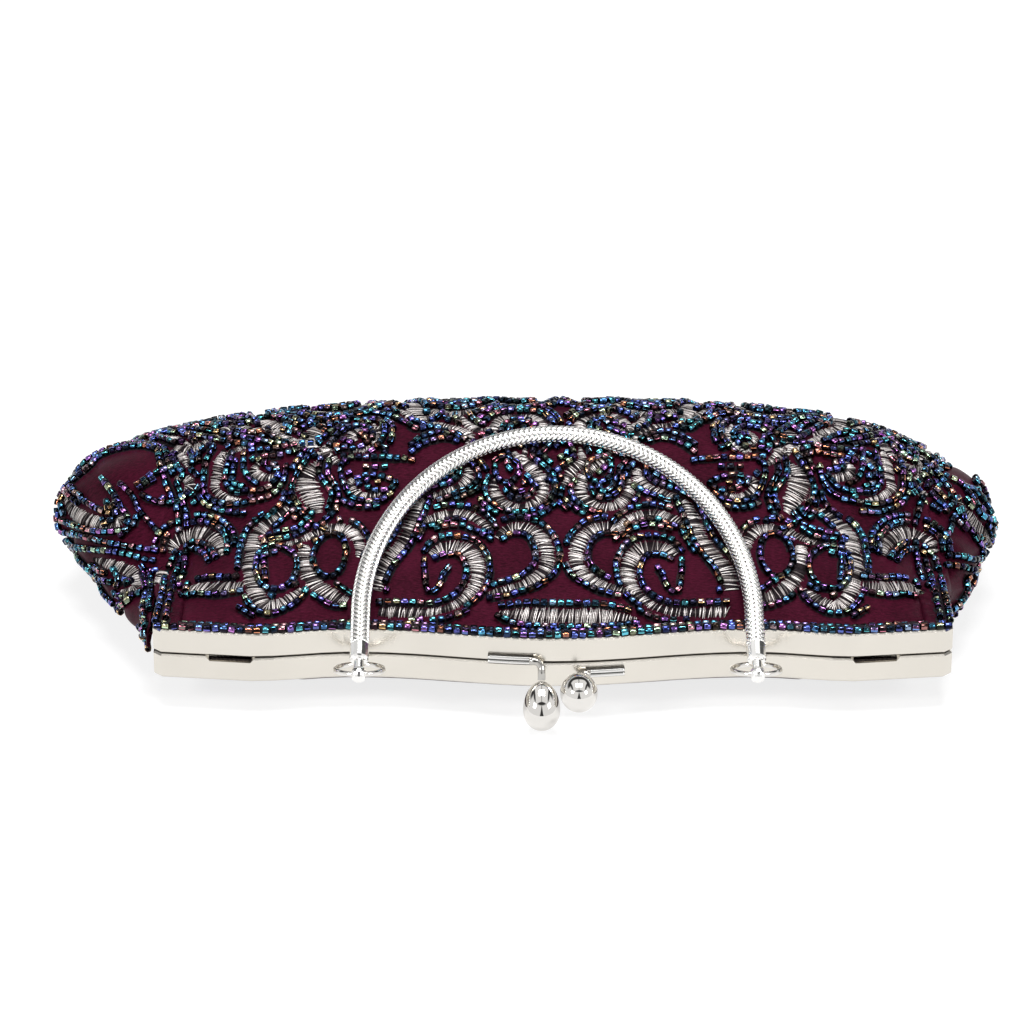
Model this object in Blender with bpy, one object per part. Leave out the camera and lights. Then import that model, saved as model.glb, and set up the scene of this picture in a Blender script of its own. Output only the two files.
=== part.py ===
"""Evening clutch with a two-part metal frame, a kiss-lock clasp and an arched chain handle.

The clutch lies on its back panel. X runs along the frame, -Y points out of the frame's
face, +Y towards the bottom of the bag, and +Z up through the front panel. The origin is
on the flat underside of the back panel. Lengths are in metres.
"""

import math

import bmesh
import bpy
from mathutils import Vector

# Placement of the frame above and in front of the origin
FACE_TO_ORIGIN = 0.070
SEAM_HEIGHT = 0.0164

# Gaps between pieces
FIT_GAP = 0.0003
SEAM_GAP = 0.00035
CUT_OVERRUN = 0.002
WELD_OVERLAP = 0.0004

# Frame: two channels of sheet metal, seen from above as a gently waved bar
FRAME_HALF_WIDTH = 0.110
FRAME_CORNER_RADIUS = 0.0022
CREASE_FROM_END = 0.027
CREASE_RISE = 0.003
RECESS_FROM_CENTRE = 0.055
BULGE_RISE = 0.006
CHANNEL_HEIGHT = 0.0070
CHANNEL_DEPTH = 0.0036
CHANNEL_CHAMFER = 0.0005
SHEET_THICKNESS = 0.0009
ARM_LENGTH = 0.038
ARM_PLUG_LENGTH = 0.004

# Hinge ears and rivets at the ends of the arms
HINGE_PAST_ARM = 0.007
EAR_RADIUS = 0.004
EAR_THICKNESS = 0.0008
EAR_NECK_HEIGHT = 0.0034
RIVET_RADIUS = 0.0012
RIVET_CLEARANCE = 0.00015
RIVET_HEAD_RADIUS = 0.0022
RIVET_HEAD_THICKNESS = 0.0006

# Two shallow notches in the back channel's upper edge
NOTCH_FROM_END = 0.0213
NOTCH_WIDTH = 0.0112
NOTCH_HEIGHT = 0.0013
NOTCH_SLANT = 0.0012

# Cord that wedges the fabric in each channel
CORD_RADIUS = 0.00095
CORD_END_SHORT = 0.005

# Kiss-lock clasp
CLASP_BAR_LENGTH = 0.0125
CLASP_BAR_HEIGHT = 0.0023
CLASP_BAR_THICKNESS = 0.0012
STEM_RADIUS = 0.0011
STEM_BEND = 0.0022
KNOB_LENGTH = 0.0137
KNOB_RADIUS = 0.0049
KNOB_SEAT_RADIUS = 0.0013
FRONT_KNOB_X = -0.0032
FRONT_BAR_ABOVE_SEAM = 0.0022
FRONT_STEM_LENGTH = 0.0050
FRONT_STEM_DROP_DEG = 57.0
BACK_KNOB_X = 0.0068
BACK_BAR_BELOW_SEAM = 0.0024
BACK_STEM_LENGTH = 0.0030
BACK_STEM_RISE_DEG = 2.0

# Rings and the loops that carry them
RING_RADIUS = 0.0065
RING_WIRE_RADIUS = 0.00072
RING_RISE_DEG = 13.4
RING_BEFORE_FACE = 0.0060
RING_BELOW_SEAM = 0.0003
LOOP_HOLE_RADIUS = 0.00125
LOOP_RADIUS = 0.0024
LOOP_THICKNESS = 0.0012
LOOP_PAD_WIDTH = 0.0040
LOOP_PAD_THICKNESS = 0.0008
LOOP_PAD_HEIGHT = 0.0034

# Handle: an arch of ribbed chain round a steel core, with a ferrule at each end
HANDLE_HALF_WIDTH = 0.0540
HANDLE_SHIFT = 0.0012
HANDLE_LENGTH = 0.0907
HANDLE_LEG_LENGTH = 0.0226
HANDLE_CLEARANCE = 0.0005
CHAIN_RADIUS = 0.00268
CHAIN_GROOVE_DEPTH = 0.00042
CHAIN_PITCH = 0.0027
CHAIN_BORE_RADIUS = 0.0018
CORE_RADIUS = 0.0015
FERRULE_BALL_RADIUS = 0.0023
FERRULE_HOLE_RADIUS = 0.0013
FERRULE_NECK_RADIUS = 0.0014
FERRULE_RADIUS = 0.0026
FERRULE_START = 0.0050
FERRULE_END = 0.0106
FERRULE_BORE_DEPTH = 0.0034
FERRULE_CHAMFER = 0.0004

# Fabric body
PANEL_THICKNESS = 0.0020
LINING_THICKNESS = 0.0008
GUSSET_THICKNESS = 0.0016
PANEL_SPLIT = 0.060
BODY_DEPTH = 0.124
LEFT_BULGE = 0.035
RIGHT_BULGE = 0.021
BOTTOM_CORNER_INSET = 0.022
WIDEST_SHARE = 0.605
FRONT_RISE = 0.0382
BACK_DROP = 0.0173
HEM_START = 0.0020
HEM_SIDE_GAP = 0.0020
ARM_SIDE_INSET = 0.0054
PANEL_SIDE_SPREAD = 0.002
GUSSET_START = 0.0070
GUSSET_END_SHORT = 0.020
GUSSET_TAPER_END_SHORT = 0.012
GUSSET_END_WIDTH = 0.004
EDGE_HALF_THICKNESS = 0.0014
SEAM_ALLOWANCE = 0.0023
LINING_GAP = 0.0006
LINING_INSET = 0.004
LINING_START = 0.0070
LINING_END_SHORT = 0.008

# Places that follow from the sizes above
CREASE_FROM_CENTRE = FRAME_HALF_WIDTH - CREASE_FROM_END
HINGE_FROM_FACE = ARM_LENGTH + HINGE_PAST_ARM
NOTCH_FROM_CENTRE = FRAME_HALF_WIDTH - NOTCH_FROM_END
LEFT_REACH = FRAME_HALF_WIDTH + LEFT_BULGE
RIGHT_REACH = FRAME_HALF_WIDTH + RIGHT_BULGE
BODY_HALF_WIDTH_AT_BOTTOM = FRAME_HALF_WIDTH - BOTTOM_CORNER_INSET
PANEL_WIDTH_BEHIND_ARMS = FRAME_HALF_WIDTH - ARM_SIDE_INSET
PANEL_WIDTH_AT_WIDEST = FRAME_HALF_WIDTH + PANEL_SIDE_SPREAD
WIDEST_FROM_FACE = WIDEST_SHARE * BODY_DEPTH
GUSSET_END = BODY_DEPTH - GUSSET_END_SHORT
GUSSET_TAPER_END = BODY_DEPTH - GUSSET_TAPER_END_SHORT

# Height of the front panel's crown along its depth: distances as shares of BODY_DEPTH,
# heights above the seam as shares of FRONT_RISE
CROWN_SHARES = (
    (0.030, 0.145),
    (0.097, 0.305),
    (0.242, 0.520),
    (0.403, 0.745),
    (0.532, 0.940),
    (0.613, 0.992),
    (0.677, 0.998),
    (0.742, 0.950),
    (0.823, 0.775),
    (0.903, 0.490),
    (0.965, 0.170),
    (1.000, -0.060),
)
# Depth of the back panel below the seam, as shares of BODY_DEPTH and BACK_DROP
KEEL_SHARES = (
    (0.030, 0.320),
    (0.065, 0.640),
    (0.105, 0.860),
    (0.155, 0.975),
    (0.220, 1.000),
    (0.484, 1.000),
    (0.742, 0.980),
    (0.839, 0.860),
    (0.919, 0.640),
    (0.968, 0.470),
    (1.000, 0.330),
)
# Height of the side seam, as shares of BODY_DEPTH and FRONT_RISE
GIRTH_SHARES = ((0.0, 0.0), (0.30, 0.01), (0.60, 0.145), (0.80, 0.09), (1.0, -0.118))
# Outline of the sides from the frame's corner to the widest place, as shares of
# WIDEST_FROM_FACE and of the reach beyond the frame
LEFT_SIDE_SHARES = ((0.0, 0.03), (0.17, 0.14), (0.41, 0.44), (0.59, 0.66), (0.80, 0.90), (1.0, 1.0))
RIGHT_SIDE_SHARES = ((0.0, 0.03), (0.20, 0.07), (0.44, 0.29), (0.69, 0.62), (0.85, 0.86), (1.0, 1.0))

# Shape numbers of the panels' cross sections
FRAMED_POWER = 4.0
FRAMED_ROOT = 0.6
FULL_POWER = 2.6
FULL_ROOT = 0.5
LINING_POWER = 6.0
CORNER_POWER = 2.2
EGG_SHARE = 0.12

# Facet counts
FACE_STEPS = 26
CORNER_STEPS = 1
ROUND_SIDES = 14
HOLE_SIDES = 16
TUBE_SIDES = 8
THIN_TUBE_SIDES = 6
RING_STEPS = 24
KNOB_STEPS = 11
STEM_BEND_STEPS = 4
PANEL_COLUMNS = 18
LINING_COLUMNS = 14
GUSSET_COLUMNS = 6
LARGEST_ROW_STEP = 0.0076
RISE_ROUNDS = 12
RISE_SAMPLES = 24


def smooth_share(value):
    """Ease a share from 0 to 1 with level ends."""
    value = min(max(value, 0.0), 1.0)
    return value * value * (3.0 - 2.0 * value)


def mix(a, b, share):
    return a + (b - a) * share


def curve_through(table, position):
    """Read a smooth curve through a table of (position, value) at one position."""
    if position <= table[0][0]:
        return table[0][1]
    if position >= table[-1][0]:
        return table[-1][1]
    index = 0
    while table[index + 1][0] < position:
        index += 1
    x0, y0 = table[index]
    x1, y1 = table[index + 1]
    slopes = []
    for at in (index, index + 1):
        low = max(at - 1, 0)
        high = min(at + 1, len(table) - 1)
        slopes.append((table[high][1] - table[low][1]) / (table[high][0] - table[low][0]))
    span = x1 - x0
    t = (position - x0) / span
    return (
        (2 * t**3 - 3 * t**2 + 1) * y0
        + (t**3 - 2 * t**2 + t) * span * slopes[0]
        + (3 * t**2 - 2 * t**3) * y1
        + (t**3 - t**2) * span * slopes[1]
    )


def clear_scene():
    for item in list(bpy.data.objects):
        bpy.data.objects.remove(item, do_unlink=True)


def make_material(name, color, roughness, metallic):
    material = bpy.data.materials.new(name)
    material.use_nodes = True
    shader = material.node_tree.nodes["Principled BSDF"]
    shader.inputs["Base Color"].default_value = (*color, 1.0)
    shader.inputs["Roughness"].default_value = roughness
    shader.inputs["Metallic"].default_value = metallic
    return material


def make_object(name, vertices, faces, material=None):
    """Build one mesh object with its faces pointing out."""
    mesh = bpy.data.meshes.new(name)
    mesh.from_pydata([tuple(v) for v in vertices], [], faces)
    work = bmesh.new()
    work.from_mesh(mesh)
    bmesh.ops.recalc_face_normals(work, faces=work.faces)
    work.to_mesh(mesh)
    work.free()
    item = bpy.data.objects.new(name, mesh)
    bpy.context.scene.collection.objects.link(item)
    if material is not None:
        mesh.materials.append(material)
    return item


def shade_round(item, angle_deg=40.0):
    item.data.shade_smooth()
    item.data.set_sharp_from_angle(angle=math.radians(angle_deg))


def make_cutter(name, vertices, faces):
    cutter = make_object(name, vertices, faces)
    cutter.hide_render = True
    cutter.display_type = "WIRE"
    return cutter


def add_boolean(item, other, operation):
    modifier = item.modifiers.new(operation.lower(), "BOOLEAN")
    modifier.operation = operation
    modifier.solver = "EXACT"
    modifier.object = other


def grid_faces(rows, columns, wrap_columns):
    """Quads of a grid of vertices stored row by row."""
    faces = []
    last = columns if wrap_columns else columns - 1
    for row in range(rows - 1):
        for column in range(last):
            beside = (column + 1) % columns
            faces.append(
                (
                    row * columns + column,
                    row * columns + beside,
                    (row + 1) * columns + beside,
                    (row + 1) * columns + column,
                )
            )
    return faces


def tube_mesh(rings):
    """Close a list of vertex rings into one tube with flat ends."""
    sides = len(rings[0])
    vertices = [v for ring in rings for v in ring]
    faces = grid_faces(len(rings), sides, True)
    faces.append(tuple(range(sides)))
    start = (len(rings) - 1) * sides
    faces.append(tuple(range(start, start + sides)))
    return vertices, faces


def slab_mesh(outer, inner):
    """Close two equal grids of points, outer and inner, into one shell."""
    rows = len(outer)
    columns = len(outer[0])
    count = rows * columns
    vertices = [v for row in outer for v in row] + [v for row in inner for v in row]
    faces = grid_faces(rows, columns, False)
    faces += [tuple(reversed([i + count for i in face])) for face in grid_faces(rows, columns, False)]
    rim = [c for c in range(columns)]
    rim += [r * columns + columns - 1 for r in range(1, rows)]
    rim += [(rows - 1) * columns + c for c in range(columns - 2, -1, -1)]
    rim += [r * columns for r in range(rows - 2, 0, -1)]
    for index, first in enumerate(rim):
        second = rim[(index + 1) % len(rim)]
        faces.append((first, second, second + count, first + count))
    return vertices, faces


def circle_ring(centre, side, up, radius, sides):
    ring = []
    for index in range(sides):
        angle = 2.0 * math.pi * index / sides
        ring.append(centre + side * (radius * math.cos(angle)) + up * (radius * math.sin(angle)))
    return ring


def cylinder_mesh(start, end, radius, sides):
    axis = (end - start).normalized()
    side = axis.orthogonal().normalized()
    up = axis.cross(side)
    return tube_mesh([circle_ring(start, side, up, radius, sides), circle_ring(end, side, up, radius, sides)])


def revolve_mesh(origin, axis, profile, sides):
    """Turn (distance along the axis, radius) points; a zero radius closes the shape."""
    axis = axis.normalized()
    side = axis.orthogonal().normalized()
    up = axis.cross(side)
    vertices = []
    rows = []
    for distance, radius in profile:
        centre = origin + axis * distance
        if radius == 0.0:
            rows.append([len(vertices)])
            vertices.append(centre)
        else:
            rows.append(list(range(len(vertices), len(vertices) + sides)))
            vertices.extend(circle_ring(centre, side, up, radius, sides))
    faces = []
    for low, high in zip(rows, rows[1:]):
        for index in range(sides):
            beside = (index + 1) % sides
            if len(low) == 1:
                faces.append((low[0], high[beside], high[index]))
            elif len(high) == 1:
                faces.append((low[index], low[beside], high[0]))
            else:
                faces.append((low[index], low[beside], high[beside], high[index]))
    return vertices, faces


def box_mesh(low, high):
    vertices = [
        (x, y, z)
        for x in (low[0], high[0])
        for y in (low[1], high[1])
        for z in (low[2], high[2])
    ]
    faces = [(0, 1, 3, 2), (4, 6, 7, 5), (0, 4, 5, 1), (2, 3, 7, 6), (0, 2, 6, 4), (1, 5, 7, 3)]
    return vertices, faces


# Places in the row frame


def row_y(from_face):
    return from_face - FACE_TO_ORIGIN


def row_z(above_seam):
    return above_seam + SEAM_HEIGHT


def place(x, from_face, above_seam):
    return Vector((x, row_y(from_face), row_z(above_seam)))


def face_wave(x):
    """How far the frame's face stands from its corners, negative towards the viewer."""
    reach = abs(x)
    flat_end = FRAME_HALF_WIDTH - FRAME_CORNER_RADIUS
    if reach >= CREASE_FROM_CENTRE:
        return -CREASE_RISE * max(flat_end - reach, 0.0) / (flat_end - CREASE_FROM_CENTRE)
    if reach >= RECESS_FROM_CENTRE:
        share = (reach - RECESS_FROM_CENTRE) / (CREASE_FROM_CENTRE - RECESS_FROM_CENTRE)
        return -CREASE_RISE * (0.5 - 0.5 * math.cos(math.pi * share))
    return -BULGE_RISE * (0.5 + 0.5 * math.cos(math.pi * reach / RECESS_FROM_CENTRE))


def face_stations():
    """X places along the face, with one on each crease."""
    flat_end = FRAME_HALF_WIDTH - FRAME_CORNER_RADIUS
    stations = []
    for index in range(FACE_STEPS + 1):
        share = index / FACE_STEPS
        stations.append(mix(-CREASE_FROM_CENTRE, CREASE_FROM_CENTRE, share))
    return [-flat_end] + stations + [flat_end]


def frame_path(end_short):
    """Plan of a channel's outer face, from one arm's end round to the other."""
    arm_end = ARM_LENGTH - end_short
    centre_x = FRAME_HALF_WIDTH - FRAME_CORNER_RADIUS
    left = [(-FRAME_HALF_WIDTH, arm_end)]
    for index in range(CORNER_STEPS):
        angle = math.pi + 0.5 * math.pi * index / CORNER_STEPS
        left.append(
            (
                -centre_x + FRAME_CORNER_RADIUS * math.cos(angle),
                FRAME_CORNER_RADIUS + FRAME_CORNER_RADIUS * math.sin(angle),
            )
        )
    middle = [(x, face_wave(x)) for x in face_stations()]
    right = [(-x, y) for x, y in reversed(left)]
    return left + middle + right


def mitred(path):
    """For each path point give it with its inward direction, lengthened at corners."""
    result = []
    for index, point in enumerate(path):
        here = Vector(point)
        before = Vector(path[max(index - 1, 0)])
        after = Vector(path[min(index + 1, len(path) - 1)])
        normals = []
        for start, end in ((before, here), (here, after)):
            if (end - start).length > 0.0:
                run = (end - start).normalized()
                normals.append(Vector((-run.y, run.x)))
        inward = sum(normals, Vector((0.0, 0.0))).normalized()
        inward /= inward.dot(normals[0])
        result.append((here, inward))
    return result


def channel_section(side):
    """C-shaped section: (depth from the face, height from the seam) for one half."""
    low = 0.5 * SEAM_GAP
    high = low + CHANNEL_HEIGHT
    inner_low = low + SHEET_THICKNESS
    inner_high = high - SHEET_THICKNESS
    points = [
        (0.0, low + CHANNEL_CHAMFER),
        (CHANNEL_CHAMFER, low),
        (CHANNEL_DEPTH, low),
        (CHANNEL_DEPTH, inner_low),
        (SHEET_THICKNESS, inner_low),
        (SHEET_THICKNESS, inner_high),
        (CHANNEL_DEPTH, inner_high),
        (CHANNEL_DEPTH, high),
        (CHANNEL_CHAMFER, high),
        (0.0, high - CHANNEL_CHAMFER),
    ]
    return [(depth, side * height) for depth, height in points]


def sweep_plan(path, section):
    """Sweep a (depth, height) section along a plan path."""
    rings = []
    for here, inward in mitred(path):
        ring = []
        for depth, height in section:
            spot = here + inward * depth
            ring.append(place(spot.x, spot.y, height))
        rings.append(ring)
    return tube_mesh(rings)


def make_ear(name, hand, side, outer_gap):
    """Round ear with its neck, cut from sheet, for one half at one end."""
    outer_x = FRAME_HALF_WIDTH - outer_gap
    inner_x = outer_x - EAR_THICKNESS
    neck_start = ARM_LENGTH - ARM_PLUG_LENGTH + WELD_OVERLAP
    neck_low = 0.5 * SEAM_GAP + WELD_OVERLAP
    neck_high = neck_low + EAR_NECK_HEIGHT
    sweep_start = math.pi - math.asin(neck_high / EAR_RADIUS)
    sweep_end = math.pi + math.asin(-neck_low / EAR_RADIUS)
    outline = [(neck_start, neck_low), (neck_start, neck_high)]
    for index in range(ROUND_SIDES + 1):
        angle = sweep_start - (2.0 * math.pi + sweep_start - sweep_end) * index / ROUND_SIDES
        outline.append(
            (HINGE_FROM_FACE + EAR_RADIUS * math.cos(angle), EAR_RADIUS * math.sin(angle))
        )
    rings = []
    for x in (outer_x, inner_x):
        rings.append([place(hand * x, y, side * z) for y, z in outline])
    return make_cutter(name, *tube_mesh(rings))


def make_frame_half(name, side, material):
    """One half of the frame: side is 1 for the front half and -1 for the back half."""
    half = make_object(name, *sweep_plan(frame_path(0.0), channel_section(side)), material)
    if side > 0:
        ear_gap = SHEET_THICKNESS + FIT_GAP
    else:
        ear_gap = CHANNEL_CHAMFER - WELD_OVERLAP
    for hand in (-1, 1):
        plug_heights = sorted(
            (
                side * (0.5 * SEAM_GAP + WELD_OVERLAP),
                side * (0.5 * SEAM_GAP + CHANNEL_HEIGHT - WELD_OVERLAP),
            )
        )
        plug_sides = sorted(
            (hand * (FRAME_HALF_WIDTH - WELD_OVERLAP), hand * (FRAME_HALF_WIDTH - CHANNEL_DEPTH))
        )
        low = place(plug_sides[0], ARM_LENGTH - ARM_PLUG_LENGTH, plug_heights[0])
        high = place(plug_sides[1], ARM_LENGTH + WELD_OVERLAP, plug_heights[1])
        plug = make_cutter(f"{name}_plug_guide", *box_mesh(low, high))
        add_boolean(half, plug, "UNION")
        ear = make_ear(f"{name}_ear_guide", hand, side, ear_gap)
        add_boolean(half, ear, "UNION")
        start = place(hand * (FRAME_HALF_WIDTH - CHANNEL_DEPTH), HINGE_FROM_FACE, 0.0)
        end = place(hand * (FRAME_HALF_WIDTH + CUT_OVERRUN), HINGE_FROM_FACE, 0.0)
        hole_radius = RIVET_RADIUS + RIVET_CLEARANCE
        hole = make_cutter(f"{name}_hole_cutter", *cylinder_mesh(start, end, hole_radius, HOLE_SIDES))
        add_boolean(half, hole, "DIFFERENCE")
    return half


def cut_notches(half):
    """Two trapezoid notches in the back channel's edge at the seam."""
    for hand in (-1, 1):
        top = -0.5 * SEAM_GAP + CUT_OVERRUN
        bottom = -0.5 * SEAM_GAP - NOTCH_HEIGHT
        spread = NOTCH_SLANT * (1.0 + CUT_OVERRUN / NOTCH_HEIGHT)
        centre = hand * NOTCH_FROM_CENTRE
        outline = [
            (centre - 0.5 * NOTCH_WIDTH, bottom),
            (centre + 0.5 * NOTCH_WIDTH, bottom),
            (centre + 0.5 * NOTCH_WIDTH + spread, top),
            (centre - 0.5 * NOTCH_WIDTH - spread, top),
        ]
        front = face_wave(centre) - CREASE_RISE
        back = face_wave(centre) + SHEET_THICKNESS + CUT_OVERRUN
        rings = [[place(x, y, z) for x, z in outline] for y in (front, back)]
        cutter = make_cutter("notch_cutter", *tube_mesh(rings))
        add_boolean(half, cutter, "DIFFERENCE")


def make_frame_cord(name, side, material):
    """Twisted paper cord pressed into the channel beside the fabric's hem."""
    depth = SHEET_THICKNESS + FIT_GAP + CORD_RADIUS
    height = 0.5 * SEAM_GAP + SHEET_THICKNESS + FIT_GAP + CORD_RADIUS
    section = []
    for index in range(THIN_TUBE_SIDES):
        angle = 2.0 * math.pi * (index + 0.5) / THIN_TUBE_SIDES
        section.append(
            (
                depth + CORD_RADIUS * math.cos(angle),
                side * (height + CORD_RADIUS * math.sin(angle)),
            )
        )
    cord = make_object(name, *sweep_plan(frame_path(CORD_END_SHORT), section), material)
    shade_round(cord, 60.0)
    return cord


def make_rivet(name, hand, material):
    """Rivet with two heads, through both ears, along X."""
    outer_face = FRAME_HALF_WIDTH + FIT_GAP
    inner_face = FRAME_HALF_WIDTH - SHEET_THICKNESS - FIT_GAP - EAR_THICKNESS - FIT_GAP
    origin = place(hand * (outer_face + RIVET_HEAD_THICKNESS), HINGE_FROM_FACE, 0.0)
    shank_start = RIVET_HEAD_THICKNESS
    shank_end = RIVET_HEAD_THICKNESS + outer_face - inner_face
    total = shank_end + RIVET_HEAD_THICKNESS
    profile = [
        (0.0, 0.0),
        (0.0, RIVET_HEAD_RADIUS - 0.5 * RIVET_HEAD_THICKNESS),
        (0.5 * RIVET_HEAD_THICKNESS, RIVET_HEAD_RADIUS),
        (shank_start, RIVET_HEAD_RADIUS),
        (shank_start, RIVET_RADIUS),
        (shank_end, RIVET_RADIUS),
        (shank_end, RIVET_HEAD_RADIUS),
        (total, RIVET_HEAD_RADIUS),
        (total, 0.0),
    ]
    axis = Vector((-hand, 0.0, 0.0))
    rivet = make_object(name, *revolve_mesh(origin, axis, profile, HOLE_SIDES), material)
    shade_round(rivet)
    return rivet


# Clasp


def stem_direction(angle_deg):
    angle = math.radians(angle_deg)
    return Vector((0.0, -math.cos(angle), math.sin(angle)))


def make_clasp(name, knob_x, hand, bar_height, stem_length, angle_deg, metal):
    """Grooved bar on the frame's face, a bent stem and an egg-shaped knob."""
    arm_name, knob_name = name
    bar_end = knob_x + hand * STEM_BEND
    stations = [
        bar_end + hand * CLASP_BAR_LENGTH * index / TUBE_SIDES for index in range(TUBE_SIDES + 1)
    ]
    half_height = 0.5 * CLASP_BAR_HEIGHT
    groove = 0.25 * CLASP_BAR_HEIGHT
    section = [
        (FIT_GAP, -half_height),
        (FIT_GAP, half_height),
        (FIT_GAP + 0.6 * CLASP_BAR_THICKNESS, half_height),
        (FIT_GAP + CLASP_BAR_THICKNESS, groove),
        (FIT_GAP + 0.75 * CLASP_BAR_THICKNESS, 0.0),
        (FIT_GAP + CLASP_BAR_THICKNESS, -groove),
        (FIT_GAP + 0.6 * CLASP_BAR_THICKNESS, -half_height),
    ]
    rings = []
    for x in stations:
        front = face_wave(x)
        rings.append([place(x, front - depth, bar_height + height) for depth, height in section])
    bar = make_object(arm_name, *tube_mesh(rings), metal)

    out = stem_direction(angle_deg)
    centre_depth = FIT_GAP + STEM_RADIUS
    start = place(bar_end + hand * STEM_BEND, 0.0, bar_height)
    start.y = row_y(face_wave(bar_end) - centre_depth)
    corner = Vector((knob_x, start.y, start.z))
    points = [start]
    for index in range(STEM_BEND_STEPS + 1):
        turn = 0.5 * math.pi * index / STEM_BEND_STEPS
        along = Vector((hand, 0.0, 0.0)) * (STEM_BEND * (1.0 - math.sin(turn)))
        points.append(corner + along + out * (STEM_BEND * (1.0 - math.cos(turn))))
    tip = corner + out * (STEM_BEND + stem_length)
    points.append(tip)
    rings = []
    across = out.cross(Vector((1.0, 0.0, 0.0)))
    for index, point in enumerate(points):
        before = points[max(index - 1, 0)]
        after = points[min(index + 1, len(points) - 1)]
        run = (after - before).normalized()
        rings.append(circle_ring(point, across, run.cross(across), STEM_RADIUS, TUBE_SIDES))
    stem = make_cutter(f"{arm_name}_stem_guide", *tube_mesh(rings))
    add_boolean(bar, stem, "UNION")

    profile = [(0.0, 0.0), (0.0, KNOB_SEAT_RADIUS)]
    for index in range(1, KNOB_STEPS):
        angle = math.pi * index / KNOB_STEPS
        radius = KNOB_RADIUS * math.sin(angle) * (1.0 - EGG_SHARE * math.cos(angle))
        distance = 0.5 * KNOB_LENGTH * (1.0 - math.cos(angle))
        if radius > KNOB_SEAT_RADIUS or index > 1:
            profile.append((distance, radius))
    profile.append((KNOB_LENGTH, 0.0))
    knob = make_object(
        knob_name, *revolve_mesh(tip + out * FIT_GAP, out, profile, ROUND_SIDES), metal
    )
    shade_round(knob)
    return bar, knob


# Rings, loops and handle


def ring_seat(x):
    """Point where a ring passes through its loop."""
    return place(x, -RING_BEFORE_FACE, -RING_BELOW_SEAM)


def ring_tip(x):
    """Point where a ring passes through a ferrule's ball."""
    rise = math.radians(RING_RISE_DEG)
    out = Vector((0.0, -math.cos(rise), math.sin(rise)))
    return ring_seat(x) + out * (2.0 * RING_RADIUS)


def make_ring(name, x, metal):
    seat = ring_seat(x)
    tip = ring_tip(x)
    centre = 0.5 * (seat + tip)
    out = (tip - seat).normalized()
    sideways = Vector((1.0, 0.0, 0.0))
    up = sideways.cross(out)
    vertices = []
    for step in range(RING_STEPS):
        angle = 2.0 * math.pi * step / RING_STEPS
        arm = out * math.cos(angle) + sideways * math.sin(angle)
        spot = centre + arm * RING_RADIUS
        vertices.extend(circle_ring(spot, arm, up, RING_WIRE_RADIUS, THIN_TUBE_SIDES))
    faces = grid_faces(RING_STEPS, THIN_TUBE_SIDES, True)
    last = (RING_STEPS - 1) * THIN_TUBE_SIDES
    for index in range(THIN_TUBE_SIDES):
        beside = (index + 1) % THIN_TUBE_SIDES
        faces.append((last + index, last + beside, beside, index))
    ring = make_object(name, [v - seat for v in vertices], faces, metal)
    ring.location = seat
    shade_round(ring, 60.0)
    return ring


def make_loop(name, x, metal):
    """Pad brazed on the front channel, with a drilled lug that hangs past the seam."""
    seat = ring_seat(x)
    pad_low = 0.5 * SEAM_GAP + CHANNEL_CHAMFER
    pad_high = pad_low + LOOP_PAD_HEIGHT
    pad_half = 0.5 * LOOP_PAD_WIDTH
    face = min(face_wave(x - pad_half), face_wave(x), face_wave(x + pad_half)) - FIT_GAP
    low = place(x - pad_half, face - LOOP_PAD_THICKNESS, pad_low)
    high = place(x + pad_half, face, pad_high)
    loop = make_object(name, *box_mesh(low, high), metal)

    lug_back = face - 0.5 * LOOP_PAD_THICKNESS
    seat_y = -RING_BEFORE_FACE
    seat_z = -RING_BELOW_SEAM
    start_angle = math.radians(80.0)
    end_angle = math.radians(355.0)
    outline = [
        (lug_back, pad_low + WELD_OVERLAP),
        (lug_back, pad_high - WELD_OVERLAP),
    ]
    for index in range(ROUND_SIDES + 1):
        angle = mix(start_angle, end_angle, index / ROUND_SIDES)
        outline.append(
            (seat_y + LOOP_RADIUS * math.cos(angle), seat_z + LOOP_RADIUS * math.sin(angle))
        )
    half = 0.5 * LOOP_THICKNESS
    rings = [[place(side, y, z) for y, z in outline] for side in (x - half, x + half)]
    lug = make_cutter(f"{name}_lug_guide", *tube_mesh(rings))
    add_boolean(loop, lug, "UNION")
    overrun = Vector((half + CUT_OVERRUN, 0.0, 0.0))
    hole = make_cutter(
        f"{name}_hole_cutter",
        *cylinder_mesh(seat - overrun, seat + overrun, LOOP_HOLE_RADIUS, HOLE_SIDES),
    )
    add_boolean(loop, hole, "DIFFERENCE")
    return loop


def handle_rise():
    """Angle at which the chain lies on the front panel, its clearance above it."""
    tip = ring_tip(HANDLE_SHIFT)
    crown = HANDLE_LENGTH - HANDLE_LEG_LENGTH
    rise = 0.0
    for _ in range(RISE_ROUNDS):
        steepest = 0.0
        for index in range(RISE_SAMPLES + 1):
            angle = math.pi * (0.5 + 0.5 * index / RISE_SAMPLES)
            along = HANDLE_LEG_LENGTH + crown * math.sin(angle)
            x = HANDLE_SHIFT + HANDLE_HALF_WIDTH * math.cos(angle)
            depth = tip.y + FACE_TO_ORIGIN + along * math.cos(rise)
            above = row_z(panel_height(x, depth, 1)) + (CHAIN_RADIUS + HANDLE_CLEARANCE) / math.cos(rise)
            steepest = max(steepest, math.atan2(above - tip.z, along * math.cos(rise)))
        rise = steepest
    return rise


def handle_frame():
    """Origin between the balls, the handle's own direction and its plane's normal."""
    rise = handle_rise()
    out = Vector((0.0, math.cos(rise), math.sin(rise)))
    normal = Vector((1.0, 0.0, 0.0)).cross(out)
    return ring_tip(HANDLE_SHIFT), out, normal


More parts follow.
